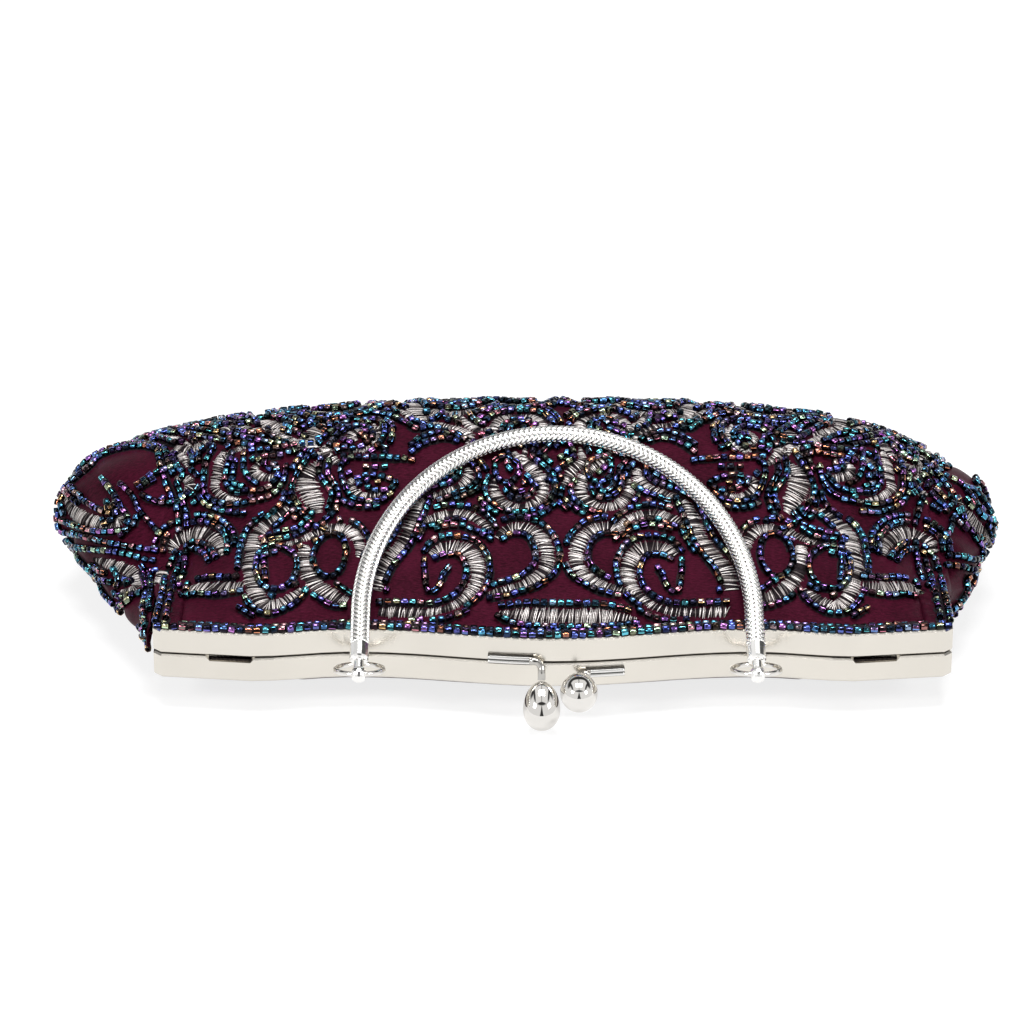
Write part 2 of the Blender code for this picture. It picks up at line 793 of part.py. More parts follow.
def handle_points(start, count):
    """Evenly spaced points of the arch, from one leg to the other, with directions."""
    origin, out, _ = handle_frame()
    across = Vector((1.0, 0.0, 0.0))
    crown = HANDLE_LENGTH - HANDLE_LEG_LENGTH
    fine = [(-HANDLE_HALF_WIDTH, start)]
    fine_steps = 360
    for index in range(fine_steps + 1):
        angle = math.pi * (1.0 - index / fine_steps)
        fine.append(
            (HANDLE_HALF_WIDTH * math.cos(angle), HANDLE_LEG_LENGTH + crown * math.sin(angle))
        )
    fine.append((HANDLE_HALF_WIDTH, start))
    lengths = [0.0]
    for first, second in zip(fine, fine[1:]):
        lengths.append(lengths[-1] + math.dist(first, second))
    points = []
    index = 0
    for step in range(count + 1):
        target = lengths[-1] * step / count
        while index < len(fine) - 2 and lengths[index + 1] < target:
            index += 1
        span = lengths[index + 1] - lengths[index]
        share = (target - lengths[index]) / span
        x = mix(fine[index][0], fine[index + 1][0], share)
        s = mix(fine[index][1], fine[index + 1][1], share)
        points.append(origin + across * x + out * s)
    return points, lengths[-1]


def arch_rings(points, radii, sides):
    _, _, normal = handle_frame()
    rings = []
    for index, point in enumerate(points):
        before = points[max(index - 1, 0)]
        after = points[min(index + 1, len(points) - 1)]
        run = (after - before).normalized()
        rings.append(circle_ring(point, run.cross(normal), normal, radii[index], sides))
    return rings


def make_handle(metal, steel):
    """Ribbed chain sleeve and the steel core that runs through it into the ferrules."""
    chain_start = FERRULE_END + FIT_GAP
    _, length = handle_points(chain_start, 1)
    links = round(length / CHAIN_PITCH)
    points, _ = handle_points(chain_start, 2 * links)
    radii = []
    for index in range(len(points)):
        radii.append(CHAIN_RADIUS if index % 2 else CHAIN_RADIUS - CHAIN_GROOVE_DEPTH)
    chain = make_object("handle_chain", *tube_mesh(arch_rings(points, radii, TUBE_SIDES)), metal)
    shade_round(chain, 60.0)

    bore_points, _ = handle_points(chain_start - CUT_OVERRUN, links // 2)
    bore_radii = [CHAIN_BORE_RADIUS] * len(bore_points)
    bore = make_cutter(
        "handle_chain_bore_cutter", *tube_mesh(arch_rings(bore_points, bore_radii, THIN_TUBE_SIDES))
    )
    add_boolean(chain, bore, "DIFFERENCE")

    core_points, _ = handle_points(FERRULE_END - FERRULE_BORE_DEPTH + FIT_GAP, links // 2)
    core_radii = [CORE_RADIUS] * len(core_points)
    core = make_object(
        "handle_core", *tube_mesh(arch_rings(core_points, core_radii, THIN_TUBE_SIDES)), steel
    )
    shade_round(core, 60.0)
    return chain, core


def make_ferrule(name, hand, metal):
    """Turned end of the handle: drilled ball, neck and socket."""
    origin, out, _ = handle_frame()
    centre = origin + Vector((hand * HANDLE_HALF_WIDTH, 0.0, 0.0))
    ball = FERRULE_BALL_RADIUS
    neck_angle = math.acos(FERRULE_NECK_RADIUS / ball)
    profile = [(-ball, 0.0)]
    ball_steps = 8
    for index in range(1, ball_steps + 1):
        angle = -0.5 * math.pi + (0.5 * math.pi + neck_angle) * index / ball_steps
        profile.append((ball * math.sin(angle), ball * math.cos(angle)))
    profile += [
        (FERRULE_START - FERRULE_CHAMFER, FERRULE_NECK_RADIUS),
        (FERRULE_START, FERRULE_RADIUS - FERRULE_CHAMFER),
        (FERRULE_START + FERRULE_CHAMFER, FERRULE_RADIUS),
        (FERRULE_END - FERRULE_CHAMFER, FERRULE_RADIUS),
        (FERRULE_END, FERRULE_RADIUS - FERRULE_CHAMFER),
        (FERRULE_END, CHAIN_BORE_RADIUS),
        (FERRULE_END - FERRULE_BORE_DEPTH, CHAIN_BORE_RADIUS),
        (FERRULE_END - FERRULE_BORE_DEPTH, 0.0),
    ]
    ferrule = make_object(name, *revolve_mesh(centre, out, profile, ROUND_SIDES), metal)
    shade_round(ferrule)
    overrun = Vector((ball + CUT_OVERRUN, 0.0, 0.0))
    hole = make_cutter(
        f"{name}_hole_cutter",
        *cylinder_mesh(centre - overrun, centre + overrun, FERRULE_HOLE_RADIUS, HOLE_SIDES),
    )
    add_boolean(ferrule, hole, "DIFFERENCE")
    return ferrule


# Fabric body, as functions of x and of the depth behind the frame's face


def plug_front():
    """Depth where the solid end of an arm starts, less the fabric's gap to it."""
    return ARM_LENGTH - ARM_PLUG_LENGTH - FIT_GAP


def hem_end():
    """Depth where the hem starts to leave the arms' channels."""
    return plug_front() - CHANNEL_DEPTH


def ear_back():
    return HINGE_FROM_FACE + EAR_RADIUS


def depth_rows(start, end):
    """Depths of the fabric's rows: every place where its outline turns, and some between."""
    marks = [
        CHANNEL_DEPTH + FIT_GAP,
        LINING_START,
        hem_end(),
        plug_front(),
        ear_back(),
        PANEL_SPLIT,
        WIDEST_FROM_FACE,
        GUSSET_END,
        BODY_DEPTH - LINING_END_SHORT,
        BODY_DEPTH,
    ]
    rows = [start]
    for mark in sorted(marks) + [end]:
        before = rows[-1]
        stop = min(mark, end)
        if stop - before > FIT_GAP:
            count = math.ceil((stop - before) / LARGEST_ROW_STEP)
            rows += [mix(before, stop, step / count) for step in range(1, count + 1)]
    return rows


def side_reach(depth, hand):
    """Distance of the side seam from the centre plane."""
    reach = LEFT_REACH if hand < 0 else RIGHT_REACH
    table = LEFT_SIDE_SHARES if hand < 0 else RIGHT_SIDE_SHARES
    if depth <= WIDEST_FROM_FACE:
        share = curve_through(table, depth / WIDEST_FROM_FACE)
        return FRAME_HALF_WIDTH + (reach - FRAME_HALF_WIDTH) * share
    share = (depth - WIDEST_FROM_FACE) / (BODY_DEPTH - WIDEST_FROM_FACE)
    round_share = (1.0 - min(share, 1.0) ** CORNER_POWER) ** (1.0 / CORNER_POWER)
    return BODY_HALF_WIDTH_AT_BOTTOM + (reach - BODY_HALF_WIDTH_AT_BOTTOM) * round_share


def panel_reach(depth, hand):
    """Distance of a panel's side edge from the centre plane."""
    if depth <= plug_front():
        share = smooth_share((depth - hem_end()) / (plug_front() - hem_end()))
        return mix(FRAME_HALF_WIDTH - HEM_SIDE_GAP, PANEL_WIDTH_BEHIND_ARMS, share)
    if depth <= WIDEST_FROM_FACE:
        share = smooth_share((depth - ear_back()) / (WIDEST_FROM_FACE - ear_back()))
        return mix(PANEL_WIDTH_BEHIND_ARMS, PANEL_WIDTH_AT_WIDEST, share)
    widest_gusset = side_reach(WIDEST_FROM_FACE, hand) - PANEL_WIDTH_AT_WIDEST
    share = min((depth - WIDEST_FROM_FACE) / (GUSSET_TAPER_END - WIDEST_FROM_FACE), 1.0)
    return side_reach(depth, hand) - mix(widest_gusset, 0.0, share)


def framed_reach():
    """Where a panel held by the arms starts to rise from its hem."""
    return PANEL_WIDTH_BEHIND_ARMS - FIT_GAP


def fullness_share(depth):
    """0 where the frame holds the section flat, 1 where it is free."""
    return smooth_share((depth - ARM_LENGTH) / (WIDEST_FROM_FACE - ARM_LENGTH))


def girth_height(depth):
    return FRONT_RISE * curve_through(GIRTH_SHARES, depth / BODY_DEPTH)


def hem_height():
    return 0.5 * SEAM_GAP + CHANNEL_HEIGHT - SHEET_THICKNESS - FIT_GAP


def panel_height(x, depth, side):
    """Height above the seam of a panel's outer face; side is 1 for front, -1 for back."""
    full = fullness_share(depth)
    hand = -1 if x < 0.0 else 1
    if side > 0:
        crown = FRONT_RISE * curve_through(CROWN_SHARES, depth / BODY_DEPTH)
    else:
        crown = -BACK_DROP * curve_through(KEEL_SHARES, depth / BODY_DEPTH)
    edge = mix(side * hem_height(), girth_height(depth) + side * EDGE_HALF_THICKNESS, full)
    reach = mix(framed_reach(), side_reach(depth, hand), full)
    power = mix(FRAMED_POWER, FULL_POWER, full)
    root = mix(FRAMED_ROOT, FULL_ROOT, full)
    share = max(1.0 - min(abs(x) / reach, 1.0) ** power, 0.0) ** root
    height = edge + (crown - edge) * share
    if side < 0:
        height = max(height, -SEAM_HEIGHT)
    return height


def body_point(x, depth, height):
    """The near part of the body follows the wave of the frame's face."""
    wave = face_wave(x) * (1.0 - smooth_share(depth / PANEL_SPLIT))
    return place(x, depth + wave, height)


def eased_columns(count):
    """Shares from -1 to 1, closer together towards the sides."""
    return [math.sin(0.5 * math.pi * (2.0 * index / count - 1.0)) for index in range(count + 1)]


def panel_columns(depth):
    """X places across a panel, with a hem of its own at each side."""
    left = panel_reach(depth, -1)
    right = panel_reach(depth, 1)
    if depth <= plug_front():
        hem = left - framed_reach()
    else:
        share = min((depth - plug_front()) / (ear_back() - plug_front()), 1.0)
        hem = mix(FIT_GAP, SEAM_ALLOWANCE, share)
    inside = []
    for share in eased_columns(PANEL_COLUMNS):
        reach = left if share < 0.0 else right
        inside.append(share * (reach - hem))
    return [-left] + inside + [right]


def make_panel(name, side, depths, material):
    """Padded satin panel of one thickness, between the given depths."""
    outer = []
    inner = []
    for depth in depths:
        outer_row = []
        inner_row = []
        for x in panel_columns(depth):
            height = panel_height(x, depth, side)
            inside = height - side * PANEL_THICKNESS
            limit = girth_height(depth) + side * 0.5 * FIT_GAP
            if depth > ARM_LENGTH:
                inside = side * max(side * inside, side * limit)
            outer_row.append(body_point(x, depth, height))
            inner_row.append(body_point(x, depth, inside))
        outer.append(outer_row)
        inner.append(inner_row)
    panel = make_object(name, *slab_mesh(outer, inner), material)
    shade_round(panel, 50.0)
    return panel


def make_lining(name, side, depths, material):
    """Thin lining inside a panel, closing towards the side seam."""
    outer = []
    inner = []
    for depth in depths:
        outer_row = []
        inner_row = []
        for share in eased_columns(LINING_COLUMNS):
            hand = -1 if share < 0.0 else 1
            reach = min(panel_reach(depth, hand), PANEL_WIDTH_BEHIND_ARMS) - LINING_INSET
            x = share * reach
            edge = girth_height(depth) + side * (0.5 * FIT_GAP + LINING_THICKNESS)
            under = panel_height(x, depth, side) - side * (PANEL_THICKNESS + LINING_GAP)
            round_share = (1.0 - abs(share) ** LINING_POWER) ** FULL_ROOT
            height = edge + (under - edge) * round_share
            outer_row.append(body_point(x, depth, height))
            inner_row.append(body_point(x, depth, height - side * LINING_THICKNESS))
        outer.append(outer_row)
        inner.append(inner_row)
    lining = make_object(name, *slab_mesh(outer, inner), material)
    shade_round(lining, 50.0)
    return lining


def make_gusset(name, hand, material):
    """Side piece that bulges out past the arms and runs to the bottom corner."""
    outer = []
    inner = []
    for depth in depth_rows(GUSSET_START, GUSSET_END):
        beside_frame = FRAME_HALF_WIDTH + FIT_GAP
        behind_frame = panel_reach(depth, hand) + FIT_GAP
        past_ear = smooth_share((depth - ear_back()) / (PANEL_SPLIT - ear_back()))
        head_clear = RIVET_HEAD_THICKNESS + FIT_GAP
        root_x = mix(beside_frame + head_clear, behind_frame, past_ear)
        seam_x = max(side_reach(depth, hand), root_x + GUSSET_END_WIDTH)
        seam_z = girth_height(depth)
        thickness = GUSSET_THICKNESS
        outer_row = []
        inner_row = []
        for column in range(2 * GUSSET_COLUMNS + 1):
            angle = math.pi * column / (2 * GUSSET_COLUMNS)
            side = 1 if column <= GUSSET_COLUMNS else -1
            edge_x = min(root_x, behind_frame) if past_ear > 0.0 else PANEL_WIDTH_BEHIND_ARMS
            root_z = panel_height(hand * edge_x, depth, side)
            rise = (root_z - seam_z) * abs(math.cos(angle))
            reach = (seam_x - root_x) * math.sin(angle)
            point_x = root_x + reach
            point_z = seam_z + rise
            in_x = root_x + max(reach - thickness * math.sin(angle), 0.0)
            in_z = point_z - side * thickness * abs(math.cos(angle))
            outer_row.append(place(hand * point_x, depth, point_z))
            inner_row.append(place(hand * in_x, depth, in_z))
        outer.append(outer_row)
        inner.append(inner_row)
    gusset = make_object(name, *slab_mesh(outer, inner), material)
    shade_round(gusset, 50.0)
    return gusset


def make_body(satin, lining):
    near_end = PANEL_SPLIT - 0.5 * FIT_GAP
    far_start = PANEL_SPLIT + 0.5 * FIT_GAP
    lining_end = BODY_DEPTH - LINING_END_SHORT
    make_panel("front_panel_top", 1, depth_rows(HEM_START, near_end), satin)
    make_panel("front_panel", 1, depth_rows(far_start, BODY_DEPTH), satin)
    make_panel("back_panel", -1, depth_rows(HEM_START, BODY_DEPTH), satin)
    make_gusset("gusset_left", -1, satin)
    make_gusset("gusset_right", 1, satin)
    make_lining("lining_front_top", 1, depth_rows(LINING_START, near_end), lining)
    make_lining("lining_front", 1, depth_rows(far_start, lining_end), lining)
    make_lining("lining_back", -1, depth_rows(LINING_START, lining_end), lining)


def build():
    clear_scene()
    nickel = make_material("polished_nickel", (0.80, 0.79, 0.76), 0.12, 1.0)
    chain_metal = make_material("silver_chain", (0.78, 0.78, 0.77), 0.22, 1.0)
    steel = make_material("core_steel", (0.45, 0.45, 0.46), 0.40, 1.0)
    paper = make_material("paper_cord", (0.62, 0.55, 0.42), 0.90, 0.0)
    satin = make_material("plum_satin", (0.072, 0.009, 0.025), 0.45, 0.0)
    lining = make_material("plum_lining", (0.060, 0.010, 0.022), 0.60, 0.0)

    front_frame = make_frame_half("front_frame", 1, nickel)
    shade_round(front_frame, 35.0)
    back_frame = make_frame_half("back_frame", -1, nickel)
    shade_round(back_frame, 35.0)
    cut_notches(back_frame)
    make_frame_cord("front_frame_cord", 1, paper)
    make_frame_cord("back_frame_cord", -1, paper)
    for label, hand in (("left", -1), ("right", 1)):
        make_rivet(f"hinge_rivet_{label}", hand, nickel)
        x = HANDLE_SHIFT + hand * HANDLE_HALF_WIDTH
        make_loop(f"handle_loop_{label}", x, nickel)
        make_ring(f"ring_{label}", x, nickel)
        make_ferrule(f"ferrule_{label}", hand, nickel)
    make_clasp(
        ("clasp_arm_front", "clasp_knob_front"),
        FRONT_KNOB_X,
        -1,
        FRONT_BAR_ABOVE_SEAM,
        FRONT_STEM_LENGTH,
        -FRONT_STEM_DROP_DEG,
        nickel,
    )
    make_clasp(
        ("clasp_arm_back", "clasp_knob_back"),
        BACK_KNOB_X,
        1,
        -BACK_BAR_BELOW_SEAM,
        BACK_STEM_LENGTH,
        BACK_STEM_RISE_DEG,
        nickel,
    )
    make_handle(chain_metal, steel)
    make_body(satin, lining)


build()
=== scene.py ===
"""Evening clutch: the fabric body with its beadwork, the metal's finish, stage, lights and camera.

Everything is in metres in the row frame. Places on the photograph are pixels of a frame
of 1024 by 1024, and each is cast from the camera on to the body before it is used.
"""

import math

import bpy
import numpy as np
from mathutils import Matrix, Vector
from mathutils.bvhtree import BVHTree


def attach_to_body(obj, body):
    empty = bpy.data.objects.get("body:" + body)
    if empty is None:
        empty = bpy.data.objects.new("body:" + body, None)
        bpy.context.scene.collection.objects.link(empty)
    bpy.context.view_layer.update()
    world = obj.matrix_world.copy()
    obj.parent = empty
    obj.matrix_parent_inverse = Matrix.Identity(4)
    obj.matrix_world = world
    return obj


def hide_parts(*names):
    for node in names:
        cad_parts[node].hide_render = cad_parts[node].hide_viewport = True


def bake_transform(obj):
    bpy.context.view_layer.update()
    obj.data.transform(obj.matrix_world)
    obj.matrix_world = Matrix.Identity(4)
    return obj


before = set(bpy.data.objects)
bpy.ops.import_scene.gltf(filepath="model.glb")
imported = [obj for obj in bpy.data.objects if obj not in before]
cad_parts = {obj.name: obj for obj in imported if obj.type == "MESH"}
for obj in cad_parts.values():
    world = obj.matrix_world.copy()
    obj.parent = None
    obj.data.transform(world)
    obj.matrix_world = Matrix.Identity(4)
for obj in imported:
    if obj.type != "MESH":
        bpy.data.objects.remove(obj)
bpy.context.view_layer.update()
random = np.random.default_rng(7)

# Sizes repeated from the part's source
FACE_TO_ORIGIN = 0.070
SEAM_HEIGHT = 0.0164
FIT_GAP = 0.0003
SEAM_GAP = 0.00035
FRAME_HALF_WIDTH = 0.110
FRAME_CORNER_RADIUS = 0.0022
CREASE_FROM_CENTRE = FRAME_HALF_WIDTH - 0.027
CREASE_RISE = 0.003
RECESS_FROM_CENTRE = 0.055
BULGE_RISE = 0.006
CHANNEL_HEIGHT = 0.0070
CHANNEL_DEPTH = 0.0036
SHEET_THICKNESS = 0.0009
ARM_LENGTH = 0.038
ARM_PLUG_LENGTH = 0.004
HINGE_FROM_FACE = ARM_LENGTH + 0.007
EAR_RADIUS = 0.004
RIVET_HEAD_THICKNESS = 0.0006
RING_RADIUS = 0.0065
RING_WIRE_RADIUS = 0.00072
RING_RISE_DEG = 13.4
RING_BEFORE_FACE = 0.0060
RING_BELOW_SEAM = 0.0003
HANDLE_HALF_WIDTH = 0.0540
HANDLE_SHIFT = 0.0012
HANDLE_LENGTH = 0.0907
HANDLE_LEG_LENGTH = 0.0226
HANDLE_CLEARANCE = 0.0005
CHAIN_RADIUS = 0.00268
CHAIN_BORE_RADIUS = 0.0018
FERRULE_END = 0.0106
KNOB_LENGTH = 0.0137
PANEL_THICKNESS = 0.0020
LINING_THICKNESS = 0.0008
PANEL_SPLIT = 0.060
BODY_DEPTH = 0.124
LEFT_REACH = FRAME_HALF_WIDTH + 0.035
RIGHT_REACH = FRAME_HALF_WIDTH + 0.021
BODY_HALF_WIDTH_AT_BOTTOM = FRAME_HALF_WIDTH - 0.022
WIDEST_FROM_FACE = 0.605 * BODY_DEPTH
FRONT_RISE = 0.0382
BACK_DROP = 0.0173
HEM_START = 0.0020
HEM_SIDE_GAP = 0.0020
PANEL_WIDTH_BEHIND_ARMS = FRAME_HALF_WIDTH - 0.0054
PANEL_WIDTH_AT_WIDEST = FRAME_HALF_WIDTH + 0.002
GUSSET_START = 0.0070
GUSSET_TAPER_END = BODY_DEPTH - 0.012
EDGE_HALF_THICKNESS = 0.0014
LINING_GAP = 0.0006
LINING_INSET = 0.004
LINING_START = 0.0070
LINING_END_SHORT = 0.008
CROWN_SHARES = (
    (0.030, 0.145),
    (0.097, 0.305),
    (0.242, 0.520),
    (0.403, 0.745),
    (0.532, 0.940),
    (0.613, 0.992),
    (0.677, 0.998),
    (0.742, 0.950),
    (0.823, 0.775),
    (0.903, 0.490),
    (0.965, 0.170),
    (1.000, -0.060),
)
KEEL_SHARES = (
    (0.030, 0.320),
    (0.065, 0.640),
    (0.105, 0.860),
    (0.155, 0.975),
    (0.220, 1.000),
    (0.484, 1.000),
    (0.742, 0.980),
    (0.839, 0.860),
    (0.919, 0.640),
    (0.968, 0.470),
    (1.000, 0.330),
)
GIRTH_SHARES = ((0.0, 0.0), (0.30, 0.01), (0.60, 0.145), (0.80, 0.09), (1.0, -0.118))
LEFT_SIDE_SHARES = ((0.0, 0.03), (0.17, 0.14), (0.41, 0.44), (0.59, 0.66), (0.80, 0.90), (1.0, 1.0))
RIGHT_SIDE_SHARES = ((0.0, 0.03), (0.20, 0.07), (0.44, 0.29), (0.69, 0.62), (0.85, 0.86), (1.0, 1.0))
FRAMED_POWER = 4.0
FRAMED_ROOT = 0.6
FULL_POWER = 2.6
FULL_ROOT = 0.5
LINING_POWER = 6.0
CORNER_POWER = 2.2
EGG_SHARE = 0.12

# Camera of the photograph, in pixels of its frame and metres
FRAME_PIXELS = 1024.0
FOCAL_PIXELS = 4180.28
CAMERA_PLACE = (-0.01454, -1.10728, 0.51274)
CAMERA_ELEVATION = 0.4124
CAMERA_YAW = 0.0031
CAMERA_ROLL = 0.0016
SENSOR_WIDTH_MM = 36.0

# Beadwork sizes
GROUND_INSET = 0.0005
BEAD_RADIUS = 0.00101
BEAD_LENGTH = 0.00186
BEAD_PITCH = 0.00230
BEAD_CLEARANCE = 0.00172
STRAND_PITCH = 0.00044
STRAND_WIDTH = 0.00038
STITCH_RISE = 0.00060
RIBBON_CELL = 0.004
LIP_ROW_HEIGHT = 0.5 * SEAM_GAP + CHANNEL_HEIGHT + 0.0001
LIP_ROW_FROM_EDGE = 0.0012
LIP_ROW_HALF_WIDTH = 0.1085

# Satin and lining sizes
CLOTH_THICKNESS = 0.0004
LINING_CLOTH_THICKNESS = 0.0003
LINING_FOLD_HEIGHT = 0.0004
PANEL_ROW_POWER = 1.1
INSET_START = 0.0044
INSET_BLEND = 0.0030
EDGE_BLEND = 0.006
EDGE_INSET_SHARE = 0.35
LOW_FOLD_START = 0.003
WRINKLE_HEIGHT = 0.00022
CROSS_WRINKLE_HEIGHT = 0.00014
CROWN_FILL = 0.0012
CROWN_FILL_START = 0.035
CROWN_FILL_BLEND = 0.030
SIGHT_SLOPE = 0.4855
RIGHT_SAG = 0.0030
SAG_START_X = 0.084
SAG_BLEND_X = 0.034
SAG_START_DEPTH = 0.045
SAG_BLEND_DEPTH = 0.030
BEADS_OFF_TABLE = 0.0021
TABLE_BLEND = 0.010
BESIDE_RIVET = FRAME_HALF_WIDTH + FIT_GAP + RIVET_HEAD_THICKNESS + FIT_GAP
SEAM_OVERLAP = 0.0004
GUSSET_MARGIN = 0.002
GUSSET_LEAST_BULGE = 0.0012
GUSSET_FOLD_HEIGHT = 0.0011
GUSSET_FOLD_LOWEST = -0.0005
GUSSET_FOLD_RATE = 330.0
GUSSET_FOLD_START = 0.012
GUSSET_FOLD_BLEND = 0.02
LEFT_UNDERSIDE_BLEND = 0.016
RIGHT_GUSSET_SHOWN_FROM = 0.0165
RIGHT_GUSSET_BLEND = 0.024
RIGHT_GUSSET_POWER = 1.25
END_FULLNESS_SHARES = {-1: 0.98, 1: 0.89}
NEAR_FULLNESS_SHARES = {-1: 0.75, 1: 0.86}
FULLNESS_START = 0.045
FULLNESS_BLEND = 0.048
END_ROUNDNESS = 1.22
SHOULDER_PLACE_SHARES = ((0.0, 0.0), (0.18, 0.10), (0.5, 0.5), (0.80, 0.88), (1.0, 1.0))
SHOULDER_LIFT_SHARES = ((0.0, 0.0), (0.18, 1.0), (0.5, 1.12), (0.80, 0.95), (1.0, 0.0))
SHOULDER_STARTS = {1: 0.0016, -1: 0.0050}
SHOULDER_END = 0.066
SHOULDER_BLEND = 0.016
SHOULDER_TOP = 0.5 * SEAM_GAP + CHANNEL_HEIGHT + 0.0008
SHOULDER_SUPPORT_END = 0.026
SHOULDER_SUPPORT_BELOW = 0.0008
SHOULDER_SPREAD = 0.02
SHOULDER_OVERHANG = 0.0014
SHOULDER_UNDERLAP = 0.0024
SHOULDER_SINK = 0.0006
SHOULDER_EDGE_DROP = 0.0016
SHOULDER_RUCK_HEIGHT = 0.0003
SHOULDER_RUCK_RATE = 900.0


def smooth_share(value):
    value = min(max(value, 0.0), 1.0)
    return value * value * (3.0 - 2.0 * value)


def eased(value, start, span):
    """From 0 at the start to 1 when the span is passed, smooth between."""
    return smooth_share((value - start) / span)


def mix(a, b, share):
    return a + (b - a) * share


def curve_through(table, position):
    if position <= table[0][0]:
        return table[0][1]
    if position >= table[-1][0]:
        return table[-1][1]
    index = 0
    while table[index + 1][0] < position:
        index += 1
    x0, y0 = table[index]
    x1, y1 = table[index + 1]
    slopes = []
    for at in (index, index + 1):
        low = max(at - 1, 0)
        high = min(at + 1, len(table) - 1)
        slopes.append((table[high][1] - table[low][1]) / (table[high][0] - table[low][0]))
    span = x1 - x0
    t = (position - x0) / span
    return (
        (2 * t**3 - 3 * t**2 + 1) * y0
        + (t**3 - 2 * t**2 + t) * span * slopes[0]
        + (3 * t**2 - 2 * t**3) * y1
        + (t**3 - t**2) * span * slopes[1]
    )


def place(x, from_face, above_seam):
    return Vector((x, from_face - FACE_TO_ORIGIN, above_seam + SEAM_HEIGHT))


def face_wave(x):
    reach = abs(x)
    flat_end = FRAME_HALF_WIDTH - FRAME_CORNER_RADIUS
    if reach >= CREASE_FROM_CENTRE:
        return -CREASE_RISE * max(flat_end - reach, 0.0) / (flat_end - CREASE_FROM_CENTRE)
    if reach >= RECESS_FROM_CENTRE:
        share = (reach - RECESS_FROM_CENTRE) / (CREASE_FROM_CENTRE - RECESS_FROM_CENTRE)
        return -CREASE_RISE * (0.5 - 0.5 * math.cos(math.pi * share))
    return -BULGE_RISE * (0.5 + 0.5 * math.cos(math.pi * reach / RECESS_FROM_CENTRE))


def plug_front():
    return ARM_LENGTH - ARM_PLUG_LENGTH - FIT_GAP


def hem_end():
    return plug_front() - CHANNEL_DEPTH


def ear_back():
    return HINGE_FROM_FACE + EAR_RADIUS


def side_reach(depth, hand):
    reach = LEFT_REACH if hand < 0 else RIGHT_REACH
    table = LEFT_SIDE_SHARES if hand < 0 else RIGHT_SIDE_SHARES
    if depth <= WIDEST_FROM_FACE:
        share = curve_through(table, depth / WIDEST_FROM_FACE)
        return FRAME_HALF_WIDTH + (reach - FRAME_HALF_WIDTH) * share
    share = (depth - WIDEST_FROM_FACE) / (BODY_DEPTH - WIDEST_FROM_FACE)
    round_share = (1.0 - min(share, 1.0) ** CORNER_POWER) ** (1.0 / CORNER_POWER)
    return BODY_HALF_WIDTH_AT_BOTTOM + (reach - BODY_HALF_WIDTH_AT_BOTTOM) * round_share


def panel_reach(depth, hand):
    if depth <= plug_front():
        share = smooth_share((depth - hem_end()) / (plug_front() - hem_end()))
        return mix(FRAME_HALF_WIDTH - HEM_SIDE_GAP, PANEL_WIDTH_BEHIND_ARMS, share)
    if depth <= WIDEST_FROM_FACE:
        share = smooth_share((depth - ear_back()) / (WIDEST_FROM_FACE - ear_back()))
        return mix(PANEL_WIDTH_BEHIND_ARMS, PANEL_WIDTH_AT_WIDEST, share)
    widest_gusset = side_reach(WIDEST_FROM_FACE, hand) - PANEL_WIDTH_AT_WIDEST
    share = min((depth - WIDEST_FROM_FACE) / (GUSSET_TAPER_END - WIDEST_FROM_FACE), 1.0)
    return side_reach(depth, hand) - mix(widest_gusset, 0.0, share)


def framed_reach():
    return PANEL_WIDTH_BEHIND_ARMS - FIT_GAP


def fullness_share(depth):
    return smooth_share((depth - ARM_LENGTH) / (WIDEST_FROM_FACE - ARM_LENGTH))


def girth_height(depth):
    return FRONT_RISE * curve_through(GIRTH_SHARES, depth / BODY_DEPTH)


def hem_height():
    return 0.5 * SEAM_GAP + CHANNEL_HEIGHT - SHEET_THICKNESS - FIT_GAP


def panel_height(x, depth, side):
    full = fullness_share(depth)
    hand = -1 if x < 0.0 else 1
    if side > 0:
        crown = FRONT_RISE * curve_through(CROWN_SHARES, depth / BODY_DEPTH)
    else:
        crown = -BACK_DROP * curve_through(KEEL_SHARES, depth / BODY_DEPTH)
    edge = mix(side * hem_height(), girth_height(depth) + side * EDGE_HALF_THICKNESS, full)
    reach = mix(framed_reach(), side_reach(depth, hand), full)
    power = mix(FRAMED_POWER, FULL_POWER, full)
    root = mix(FRAMED_ROOT, FULL_ROOT, full)
    share = max(1.0 - min(abs(x) / reach, 1.0) ** power, 0.0) ** root
    height = edge + (crown - edge) * share
    if side < 0:
        height = max(height, -SEAM_HEIGHT)
    return height


def body_point(x, depth, height):
    wave = face_wave(x) * (1.0 - smooth_share(depth / PANEL_SPLIT))
    return place(x, depth + wave, height)


# Mesh helpers


def fast_object(name, vertices, faces, material, smooth=True):
    """Mesh from numpy arrays whose faces all have the same count of corners."""
    mesh = bpy.data.meshes.new(name)
    mesh.vertices.add(len(vertices))
    mesh.vertices.foreach_set("co", np.asarray(vertices, np.float32).ravel())
    corners = faces.shape[1]
    mesh.loops.add(faces.size)
    mesh.loops.foreach_set("vertex_index", faces.astype(np.int32).ravel())
    mesh.polygons.add(len(faces))
    mesh.polygons.foreach_set("loop_start", np.arange(0, faces.size, corners, dtype=np.int32))
    mesh.update(calc_edges=True)
    if smooth:
        mesh.shade_smooth()
    mesh.materials.append(material)
    item = bpy.data.objects.new(name, mesh)
    bpy.context.scene.collection.objects.link(item)
    return item


def add_values(item, name, values, domain="POINT"):
    attribute = item.data.attributes.new(name, "FLOAT", domain)
    attribute.data.foreach_set("value", np.asarray(values, np.float32))


